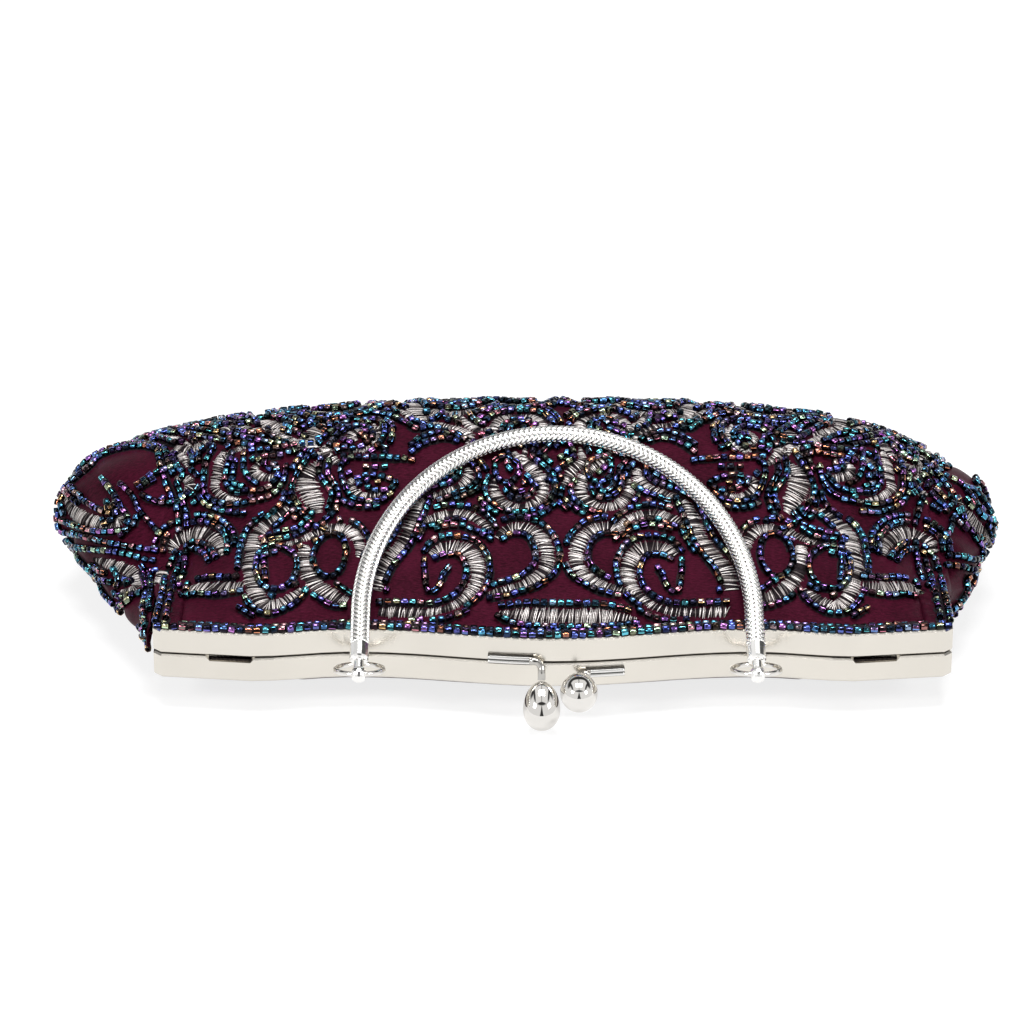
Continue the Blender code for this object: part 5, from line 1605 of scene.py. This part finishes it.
def make_stitches(name, work, attach):
    """Ribbons of satin stitch, strand by strand with painted light, over a base sheet in painted shade."""
    grids = []
    levels_with_painted_light = []
    for _, line, wide in work.ribbons:
        shade_sheet = ribbon_base(line, wide, work.surface)
        strands = strand_grid(line, wide, work.surface)
        shade = random.choice(STRAND_TONES_AND_PAINTED_GAPS, len(strands), p=STRAND_TONE_AND_GAP_SHARES)
        values = np.repeat(shade[:, None], len(STRAND_STATION_SHARES), 1)[:, :, None] * STRAND_PROFILE_PAINTED_LIGHT
        grids += [shade_sheet, *strands]
        # The sheet gets level 0: painted shade.
        levels_with_painted_light += [np.zeros(shade_sheet.shape[0] * shade_sheet.shape[1]), values.ravel()]
    if grids:
        item = fast_object(name, *gathered(grids), thread)
        add_values(item, "thread", np.concatenate(levels_with_painted_light))
        attach(item)


def make_sewing_and_painted_shade(name, work, attach):
    """Dark sewing thread under every row of beads, wider than the beads: painted shade between them."""
    grids = []
    for line, normals, sides in work.sewn:
        columns = zip((-SEWING_SHADE_HALF_WIDTH, 0.0, SEWING_SHADE_HALF_WIDTH), SEWING_SHADE_HEIGHTS)
        grids.append(np.stack([line + sides * across + normals * rise for across, rise in columns], 1))
    if grids:
        item = fast_object(name, *gathered(grids), backing)
        attach(item)


def dropped(points, surface, direction):
    """Points moved straight down or up on to a surface."""
    placed = []
    for p in points:
        start = Vector((p[0], p[1], 0.2 * direction))
        hit = surface.ray_cast(start, Vector((0.0, 0.0, -direction)))[0]
        placed.append(None if hit is None else tuple(hit))
    return placed


# Lay the scrolls and rows out on each zone of the body

MIRROR_PIXEL = 553.0
MOTIF_AXIS_PIXEL = 562.0
FAR_FOLD_DEPTH = 0.060
FAR_START_DEPTH = 0.064
FAR_LIMIT_DEPTH = 0.117
DOUBLE_ROWS_FROM = 0.042
BACK_STRETCH = 1.05

front_work = Work(front_surface)
left_work = Work(front_surface)
right_work = Work(front_surface)
back_work = Work(back_surface)


def flipped(points, axis):
    return [(2.0 * axis - u, v) for u, v in points]


def lay(work, name, points, widths=None):
    cast = cast_line(points, widths, front_surface)
    if cast is None:
        return None
    if widths is None:
        work.rows_waiting.append(cast[0])
    else:
        work.add_ribbon(name, *cast)
    return cast


front_casts = []
for table, axis in ((LEFT_SCROLLS, MIRROR_PIXEL), (CENTRE_SCROLLS, MOTIF_AXIS_PIXEL), (MIDDLE_SCROLLS, None)):
    for name, (points, widths) in table.items():
        front_casts.append((name, lay(front_work, name, points, widths)))
        if axis is not None:
            front_casts.append((name + "_r", lay(front_work, name + "_r", flipped(points, axis), widths)))
for work, table in ((left_work, LEFT_GUSSET_SCROLLS), (right_work, RIGHT_GUSSET_SCROLLS)):
    for name, (points, widths) in table.items():
        lay(work, name, points, widths)
for name, points in LEFT_ROWS.items():
    lay(front_work, name, points)
    lay(front_work, name, flipped(points, MIRROR_PIXEL))
for work, table in ((front_work, RIGHT_ROWS), (left_work, LEFT_GUSSET_ROWS), (right_work, RIGHT_GUSSET_ROWS)):
    for name, points in table.items():
        lay(work, name, points)


def copy_beyond():
    """The same scrolls again on the far slope of the front panel, and on the back panel."""
    for name, cast in front_casts:
        if cast is None:
            continue
        points, widths = cast
        far = points.copy()
        far[:, 1] = 2.0 * (FAR_FOLD_DEPTH - FACE_TO_ORIGIN) - points[:, 1]
        inside = (front_depth(far) > FAR_START_DEPTH) & (front_depth(far) < FAR_LIMIT_DEPTH)
        spots = dropped(far, front_surface, 1.0)
        spots = [spot if ok else None for spot, ok in zip(spots, inside)]
        run = kept_runs(spots, widths)
        if run is not None:
            front_work.add_ribbon(name + "_far", *run)
        under = points.copy()
        under[:, 1] = front_depth(points) * BACK_STRETCH - FACE_TO_ORIGIN
        run = kept_runs(dropped(under, back_surface, -1.0), widths)
        if run is not None:
            back_work.add_ribbon(name + "_back", *run)


copy_beyond()


def panel_line(side, depth, start, end, steps=240):
    spots = []
    for x in np.linspace(start, end, steps):
        spots.append(tuple(body_point(float(x), depth, panel_height(float(x), depth, side))))
    return np.array(spots)


def seam_line(side, hand, shift, start, end, steps=160):
    spots = []
    for depth in np.linspace(start, end, steps):
        x = hand * (panel_reach(float(depth), hand) + shift)
        spots.append(tuple(body_point(x, float(depth), panel_height(x, float(depth), side))))
    return np.array(spots)


def facing_rows(grid, outward, value, ripple=0.0):
    """Where the grid turns away from the camera, column by column: points at one value of that turn."""
    toward = unit(np.array(CAMERA_PLACE) - grid)
    facing = np.einsum("rcj,rcj->rc", grid_normals(grid) * outward, toward)
    spots = []
    for c in range(grid.shape[1]):
        aim = value + ripple * math.sin(0.33 * c + 9.0 * value) * math.cos(0.11 * c)
        found = None
        for r in range(8, grid.shape[0] - 2):
            if facing[r, c] > aim >= facing[r + 1, c]:
                share = (facing[r, c] - aim) / (facing[r, c] - facing[r + 1, c])
                found = tuple(grid[r, c] * (1.0 - share) + grid[r + 1, c] * share)
        spots.append(found)
    return spots


def add_facing(work, grid, outward, value, ripple=0.0):
    spots = facing_rows(grid, outward, value, ripple)
    run = kept_runs(spots, np.zeros(len(spots)))
    if run is not None:
        work.add_row(run[0])


FRAME_ROW_DEPTHS = {1: (0.0032, 0.0051), -1: (0.0036, 0.0240)}
FRAME_ROW_HALF_WIDTH = 0.1035
SEAM_SHIFTS = (-0.0014, 0.0010)
INNER_SEAM_START = 0.0095
OUTER_SEAM_START = 0.040
SEAM_END = 0.119
END_ROW_DEPTH = 0.1215
END_ROW_HALF_WIDTH = 0.080
FRONT_FACING_SHARES = (0.02, 0.07, 0.12, 0.17, 0.22, 0.28)
GUSSET_FACING_SHARES = (0.05, 0.24)
FACING_RIPPLE = 0.02
ARM_CLEAR_HALF_WIDTH = FRAME_HALF_WIDTH + 0.0022
ARM_CLEAR_DEPTH = HINGE_FROM_FACE + EAR_RADIUS + 0.0025
SEWN_WIDTH_SHARE = 1.008
UNDERSIDE_BARE_DEPTH = 0.034
RIGHT_TOP_PIXELS = (931.0, 969.0, 455.0)
LEFT_LOW_PIXELS = (103.0, 141.0, 599.0)
RIGHT_LOW_PIXELS = (948.0, 613.0)
BARE_EDGE_SLOPE = 0.80
MIDDLE_PIXEL_ROW = 500.0

for work, side in ((front_work, 1), (back_work, -1)):
    for depth in FRAME_ROW_DEPTHS[side]:
        work.add_row(panel_line(side, depth, -FRAME_ROW_HALF_WIDTH, FRAME_ROW_HALF_WIDTH))
    for hand in (-1, 1):
        for shift in SEAM_SHIFTS[: 1 if hand > 0 and side > 0 else 2]:
            start = INNER_SEAM_START if shift < 0.0 else OUTER_SEAM_START
            work.add_row(seam_line(side, hand, shift, start, SEAM_END))
front_work.add_row(panel_line(1, END_ROW_DEPTH, -END_ROW_HALF_WIDTH, END_ROW_HALF_WIDTH))

for work in (front_work, left_work, right_work, back_work):
    for row in work.rows_waiting:
        work.add_row(row, "*")
    work.add_borders()
for value in FRONT_FACING_SHARES:
    add_facing(front_work, front_grid, 1, value, FACING_RIPPLE)
for value in GUSSET_FACING_SHARES:
    add_facing(left_work, gusset_grids[-1], -1, value)
    add_facing(right_work, gusset_grids[1], 1, value)
rim_grid = gusset_grids[1]
right_work.add_row(rim_grid[13:-3, rim_grid.shape[1] // 2])
for work in (front_work, left_work, right_work):
    work.add_borders(1)
front_work.add_lip()


def bare_rim(p):
    """Three stretches of the ends' outline are plain satin in the photograph."""
    u, v = pixel_of(p)
    start, end, height = RIGHT_TOP_PIXELS
    right_top = start < u < end and v < height + BARE_EDGE_SLOPE * (u - start)
    start, end, height = LEFT_LOW_PIXELS
    left_low = start < u < end and v > height + BARE_EDGE_SLOPE * (u - start)
    right_low = u > RIGHT_LOW_PIXELS[0] and v > RIGHT_LOW_PIXELS[1]
    return right_top or left_low or right_low


def in_front_zone(p):
    return pixel_of(p)[1] > MIDDLE_PIXEL_ROW or not bare_rim(p)


def in_end_zone(p):
    return not bare_rim(p)


def in_back_zone(p):
    """The underside is bare near the table, and nothing may show under the frame's lower edge."""
    return p[1] + FACE_TO_ORIGIN > UNDERSIDE_BARE_DEPTH and not shows_under_frame(p, 2.2 * BEAD_RADIUS)


def clear_of_arm(p):
    """Beads and the dark sewing thread with its painted shade keep clear of the arms that swing up beside the
    ends.
    """
    return abs(p[0]) > ARM_CLEAR_HALF_WIDTH or p[1] + FACE_TO_ORIGIN > ARM_CLEAR_DEPTH


front_work.keep_only(in_front_zone)
back_work.keep_only(in_back_zone)
wider = np.array((SEWN_WIDTH_SHARE, 1.0, 1.0))
for work in (left_work, right_work):
    work.keep_only(in_end_zone)
    work.sewn = [run for run in work.sewn if all(clear_of_arm(p) for p in run[0])]
    work.beads = [bead for bead in work.beads if clear_of_arm(bead[0] * wider)]

ZONES = (
    ("front", front_work, on_front),
    ("back", back_work, on_back),
    ("left", left_work, on_back),
    ("right", right_work, on_back),
)
for kind, make in (("backing", make_sewing_and_painted_shade), ("stitches", make_stitches), ("beads", make_beads)):
    for label, work, attach in ZONES:
        make(f"{kind}_{label}", work, attach)


# Handle: ribbed chain of herringbone links

RISE_ROUNDS = 12
RISE_SAMPLES = 24
CHAIN_RIB_PITCH = 0.00154
CHAIN_SIDES = 80
CHAIN_ROWS_PER_RIB = 8
CHAIN_COLUMNS = 8
CHAIN_LEAN = 1.05
CHAIN_RELIEF = 0.00058
CHAIN_FLATTENING = 0.84
CHAIN_SWELL = 0.00004
CHAIN_END_DROP = 0.0004
CHAIN_GAP_POWER = 3.2
CHAIN_BORDER_POWER = 5
CHAIN_BORDER_SHARE = 0.45
ARCH_STEPS = 360
ACROSS = np.array((1.0, 0.0, 0.0))


def ring_seat(x):
    return place(x, -RING_BEFORE_FACE, -RING_BELOW_SEAM)


def ring_tip(x):
    rise = math.radians(RING_RISE_DEG)
    return ring_seat(x) + Vector((0.0, -math.cos(rise), math.sin(rise))) * (2.0 * RING_RADIUS)


def handle_rise():
    tip = ring_tip(HANDLE_SHIFT)
    crown = HANDLE_LENGTH - HANDLE_LEG_LENGTH
    rise = 0.0
    for _ in range(RISE_ROUNDS):
        steepest = 0.0
        for index in range(RISE_SAMPLES + 1):
            angle = math.pi * (0.5 + 0.5 * index / RISE_SAMPLES)
            along = HANDLE_LEG_LENGTH + crown * math.sin(angle)
            x = HANDLE_SHIFT + HANDLE_HALF_WIDTH * math.cos(angle)
            depth = tip.y + FACE_TO_ORIGIN + along * math.cos(rise)
            clearance = (CHAIN_RADIUS + HANDLE_CLEARANCE) / math.cos(rise)
            above = SEAM_HEIGHT + panel_height(x, depth, 1) + clearance
            steepest = max(steepest, math.atan2(above - tip.z, along * math.cos(rise)))
        rise = steepest
    return rise


HANDLE_RISE = handle_rise()
HANDLE_OUT = Vector((0.0, math.cos(HANDLE_RISE), math.sin(HANDLE_RISE)))
HANDLE_NORMAL = Vector((1.0, 0.0, 0.0)).cross(HANDLE_OUT)
HANDLE_ORIGIN = ring_tip(HANDLE_SHIFT)


def handle_line(start, count):
    """Points at even steps along the handle's arch, and its length."""
    crown = HANDLE_LENGTH - HANDLE_LEG_LENGTH
    fine = [(-HANDLE_HALF_WIDTH, start)]
    for index in range(ARCH_STEPS + 1):
        angle = math.pi * (1.0 - index / ARCH_STEPS)
        fine.append((HANDLE_HALF_WIDTH * math.cos(angle), HANDLE_LEG_LENGTH + crown * math.sin(angle)))
    fine.append((HANDLE_HALF_WIDTH, start))
    fine = np.array(fine)
    lengths = np.concatenate([[0.0], np.cumsum(np.linalg.norm(np.diff(fine, axis=0), axis=1))])
    at = np.linspace(0.0, lengths[-1], count + 1)
    across = np.interp(at, lengths, fine[:, 0])[:, None] * ACROSS
    outward = np.interp(at, lengths, fine[:, 1])[:, None] * np.array(HANDLE_OUT)
    return np.array(HANDLE_ORIGIN) + across + outward, float(lengths[-1])


def hoops(centres, sides, ups, radii, count, flattening=1.0):
    """A ring of points round each centre, in the plane of its side and up directions."""
    angles = 2.0 * math.pi * np.arange(count) / count
    across = (radii * np.cos(angles))[..., None] * sides[:, None]
    upward = (flattening * radii * np.sin(angles))[..., None] * ups[:, None]
    return centres[:, None] + across + upward


def chain_height():
    """How high the links stand, from 0 in their gaps to 1, for each row and side of the chain."""
    _, length = handle_line(FERRULE_END + FIT_GAP, 1)
    rows = round(length / CHAIN_RIB_PITCH) * CHAIN_ROWS_PER_RIB
    row = np.arange(rows + 1)[:, None] / CHAIN_ROWS_PER_RIB
    column = np.arange(CHAIN_SIDES)[None] / CHAIN_SIDES * CHAIN_COLUMNS
    inside = column - np.floor(column)
    lean = np.where(np.floor(column) % 2 < 0.5, inside, 1.0 - inside)
    phase = row - CHAIN_LEAN * lean
    gap = np.abs(2.0 * (phase - np.floor(phase)) - 1.0) ** CHAIN_GAP_POWER
    border = np.abs(2.0 * inside - 1.0) ** CHAIN_BORDER_POWER
    return (1.0 - gap) * (1.0 - CHAIN_BORDER_SHARE * border)


def make_chain():
    height = chain_height()
    points, _ = handle_line(FERRULE_END + FIT_GAP, len(height) - 1)
    normal = np.array(HANDLE_NORMAL)
    sideways = np.cross(unit(np.gradient(points, axis=0)), normal)
    points = points - normal * (CHAIN_RADIUS * (1.0 - CHAIN_FLATTENING))
    radius = CHAIN_RADIUS + CHAIN_SWELL - CHAIN_RELIEF * (1.0 - height)
    radius[0] = radius[-1] = CHAIN_RADIUS - CHAIN_END_DROP
    outer = hoops(points, sideways, normal[None], radius, CHAIN_SIDES, CHAIN_FLATTENING)
    ends = points[[0, -1]], sideways[[0, -1]]
    rim = hoops(*ends, normal[None], CHAIN_BORE_RADIUS, CHAIN_SIDES, CHAIN_FLATTENING)
    vertices = np.concatenate([rim[:1], outer, rim[1:]])
    faces = grid_quads(len(vertices), CHAIN_SIDES, wrap=True)
    item = fast_object("handle_weave", vertices.reshape(-1, 3), faces[:, ::-1], silver)
    # The chain's end rims get level 0: painted shade in the bore.
    dark = np.zeros((1, CHAIN_SIDES))
    add_values(item, "raised", np.concatenate([dark, height, dark]).ravel())
    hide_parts("handle_chain")
    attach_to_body(item, "handle")


make_chain()


# Clasp and rings, finer than their coarse solids

STEM_BEND = 0.0022
STEM_RADIUS = 0.00105
STEM_LENGTH = 0.0030
STEM_ROOT = 0.0012
STEM_SIDES = 24
BAR_HALF_HEIGHT = 0.00115
BAR_THICKNESS = 0.0013
BAR_GROOVE_DEPTH = 0.00045
BAR_RIDGE_POWER = 0.6
BAR_STEPS = 24
BEND_STEPS = 12
KNOB_WIDE_RADIUS = 0.0051
KNOB_STEPS = 48
KNOB_SIDES = 72
KNOB_END_RADIUS = 0.00001
RING_STEPS = 96
RING_SIDES = 20


def clasp_corner(knob_x, hand, bar_height):
    bar_end = knob_x + hand * STEM_BEND
    return place(knob_x, face_wave(bar_end) - (FIT_GAP + STEM_RADIUS), bar_height)


def tilt(angle_deg):
    angle = math.radians(angle_deg)
    return Vector((0.0, -math.cos(angle), math.sin(angle)))


def make_knob(name, node, body, knob_x, hand, bar_height, angle_deg):
    out = tilt(angle_deg)
    tip = clasp_corner(knob_x, hand, bar_height) + out * (STEM_BEND + STEM_LENGTH + FIT_GAP)
    turn = math.pi * np.arange(KNOB_STEPS + 1) / KNOB_STEPS
    radii = KNOB_WIDE_RADIUS * np.sin(turn) * (1.0 - EGG_SHARE * np.cos(turn))
    radii[[0, -1]] = KNOB_END_RADIUS
    centres = np.array(tip) + 0.5 * KNOB_LENGTH * (1.0 - np.cos(turn))[:, None] * np.array(out)
    side = out.orthogonal().normalized()
    rings = hoops(centres, np.array(side)[None], np.array(out.cross(side))[None], radii[:, None], KNOB_SIDES)
    faces = grid_quads(len(rings), KNOB_SIDES, wrap=True)[:, ::-1]
    item = fast_object(name, rings.reshape(-1, 3), faces, bright)
    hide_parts(node)
    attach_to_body(item, body)
    item.visible_glossy = False


def bar_section():
    """A groove between two half round ridges, as (out from the face, up, how far it stands out)."""
    section = [(0.0, -BAR_HALF_HEIGHT, 0.25), (0.0, BAR_HALF_HEIGHT, 0.25)]
    for index in range(BAR_STEPS + 1):
        share = 1.0 - 2.0 * index / BAR_STEPS
        ridge = abs(math.sin(math.pi * share))
        groove = BAR_GROOVE_DEPTH * (1.0 - ridge**BAR_RIDGE_POWER)
        section.append((BAR_THICKNESS - groove, BAR_HALF_HEIGHT * share, ridge))
    return section


def sweep(name, rings, material):
    """A tube through rings of equal count, closed at its ends by a small fan."""
    rings = np.array(rings)
    count = rings.shape[1]
    first, last = (np.repeat(ring.mean(0)[None], count, 0)[None] for ring in (rings[0], rings[-1]))
    rings = np.concatenate([first, rings, last])
    return fast_object(name, rings.reshape(-1, 3), grid_quads(len(rings), count, wrap=True), material)


def make_clasp_arm(name, node, body, bar_length, knob_x, hand, bar_height, angle_deg):
    bar_end = knob_x + hand * STEM_BEND
    section = bar_section()
    rings = []
    for index in range(BAR_STEPS + 1):
        x = bar_end + hand * bar_length * (1.0 - index / BAR_STEPS)
        face = face_wave(x) - FIT_GAP
        rings.append([tuple(place(x, face - out, bar_height + up)) for out, up, _ in section])
    bar = sweep(name + "_bar", rings[:: -hand], grooved)
    # The bar's end caps get a middle level of the painted gap shade.
    ends = [0.5] * len(section)
    add_values(bar, "raised", ends + [ridge for _, _, ridge in section] * len(rings) + ends)
    out = tilt(angle_deg)
    corner = clasp_corner(knob_x, hand, bar_height)
    sideways = Vector((hand, 0.0, 0.0))
    line = [corner + sideways * (STEM_BEND + STEM_ROOT)]
    centre = corner + sideways * STEM_BEND + out * STEM_BEND
    for index in range(BEND_STEPS + 1):
        turn = 0.5 * math.pi * index / BEND_STEPS
        line.append(centre - out * (STEM_BEND * math.cos(turn)) - sideways * (STEM_BEND * math.sin(turn)))
    line.append(corner + out * (STEM_BEND + STEM_LENGTH))
    line = np.array(line)
    flat = unit(np.cross(ACROSS, np.array(out)))[None]
    ahead = unit(np.gradient(line, axis=0))
    stem_rings = hoops(line, unit(np.cross(ahead, flat)), flat, STEM_RADIUS, STEM_SIDES)
    stem = sweep(name + "_stem", stem_rings, stem_metal)
    for item in (bar, stem):
        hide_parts(node)
        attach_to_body(item, body)


FRONT_CLASP = {"knob_x": -0.0032, "hand": -1, "angle_deg": -57.0}
BACK_CLASP = {"knob_x": 0.0068, "hand": 1, "angle_deg": 2.0}

make_clasp_arm("arm_front", "clasp_arm_front", "front_half", 0.0125, bar_height=0.0012, **FRONT_CLASP)
make_knob("knob_front", "clasp_knob_front", "front_half", bar_height=0.0012, **FRONT_CLASP)
make_clasp_arm("arm_back", "clasp_arm_back", "back_half", 0.0106, bar_height=-0.0028, **BACK_CLASP)
make_knob("knob_back", "clasp_knob_back", "back_half", bar_height=-0.0026, **BACK_CLASP)


def make_ring(name, node, x, body):
    seat = np.array(ring_seat(x))
    tip = np.array(ring_tip(x))
    out = unit(tip - seat)
    turn = 2.0 * math.pi * np.arange(RING_STEPS) / RING_STEPS
    arms = np.cos(turn)[:, None] * out + np.sin(turn)[:, None] * ACROSS
    centres = 0.5 * (seat + tip) + arms * RING_RADIUS
    rings = hoops(centres, arms, np.cross(ACROSS, out)[None], RING_WIRE_RADIUS, RING_SIDES)
    faces = grid_quads(RING_STEPS + 1, RING_SIDES, wrap=True) % (RING_STEPS * RING_SIDES)
    item = fast_object(name, rings.reshape(-1, 3), faces, bright)
    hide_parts(node)
    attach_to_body(item, body)


make_ring("wire_ring_left", "ring_left", HANDLE_SHIFT - HANDLE_HALF_WIDTH, "ring_left_body")
make_ring("wire_ring_right", "ring_right", HANDLE_SHIFT + HANDLE_HALF_WIDTH, "ring_right_body")


# Settings

bpy.context.scene.view_settings.view_transform = "Standard"
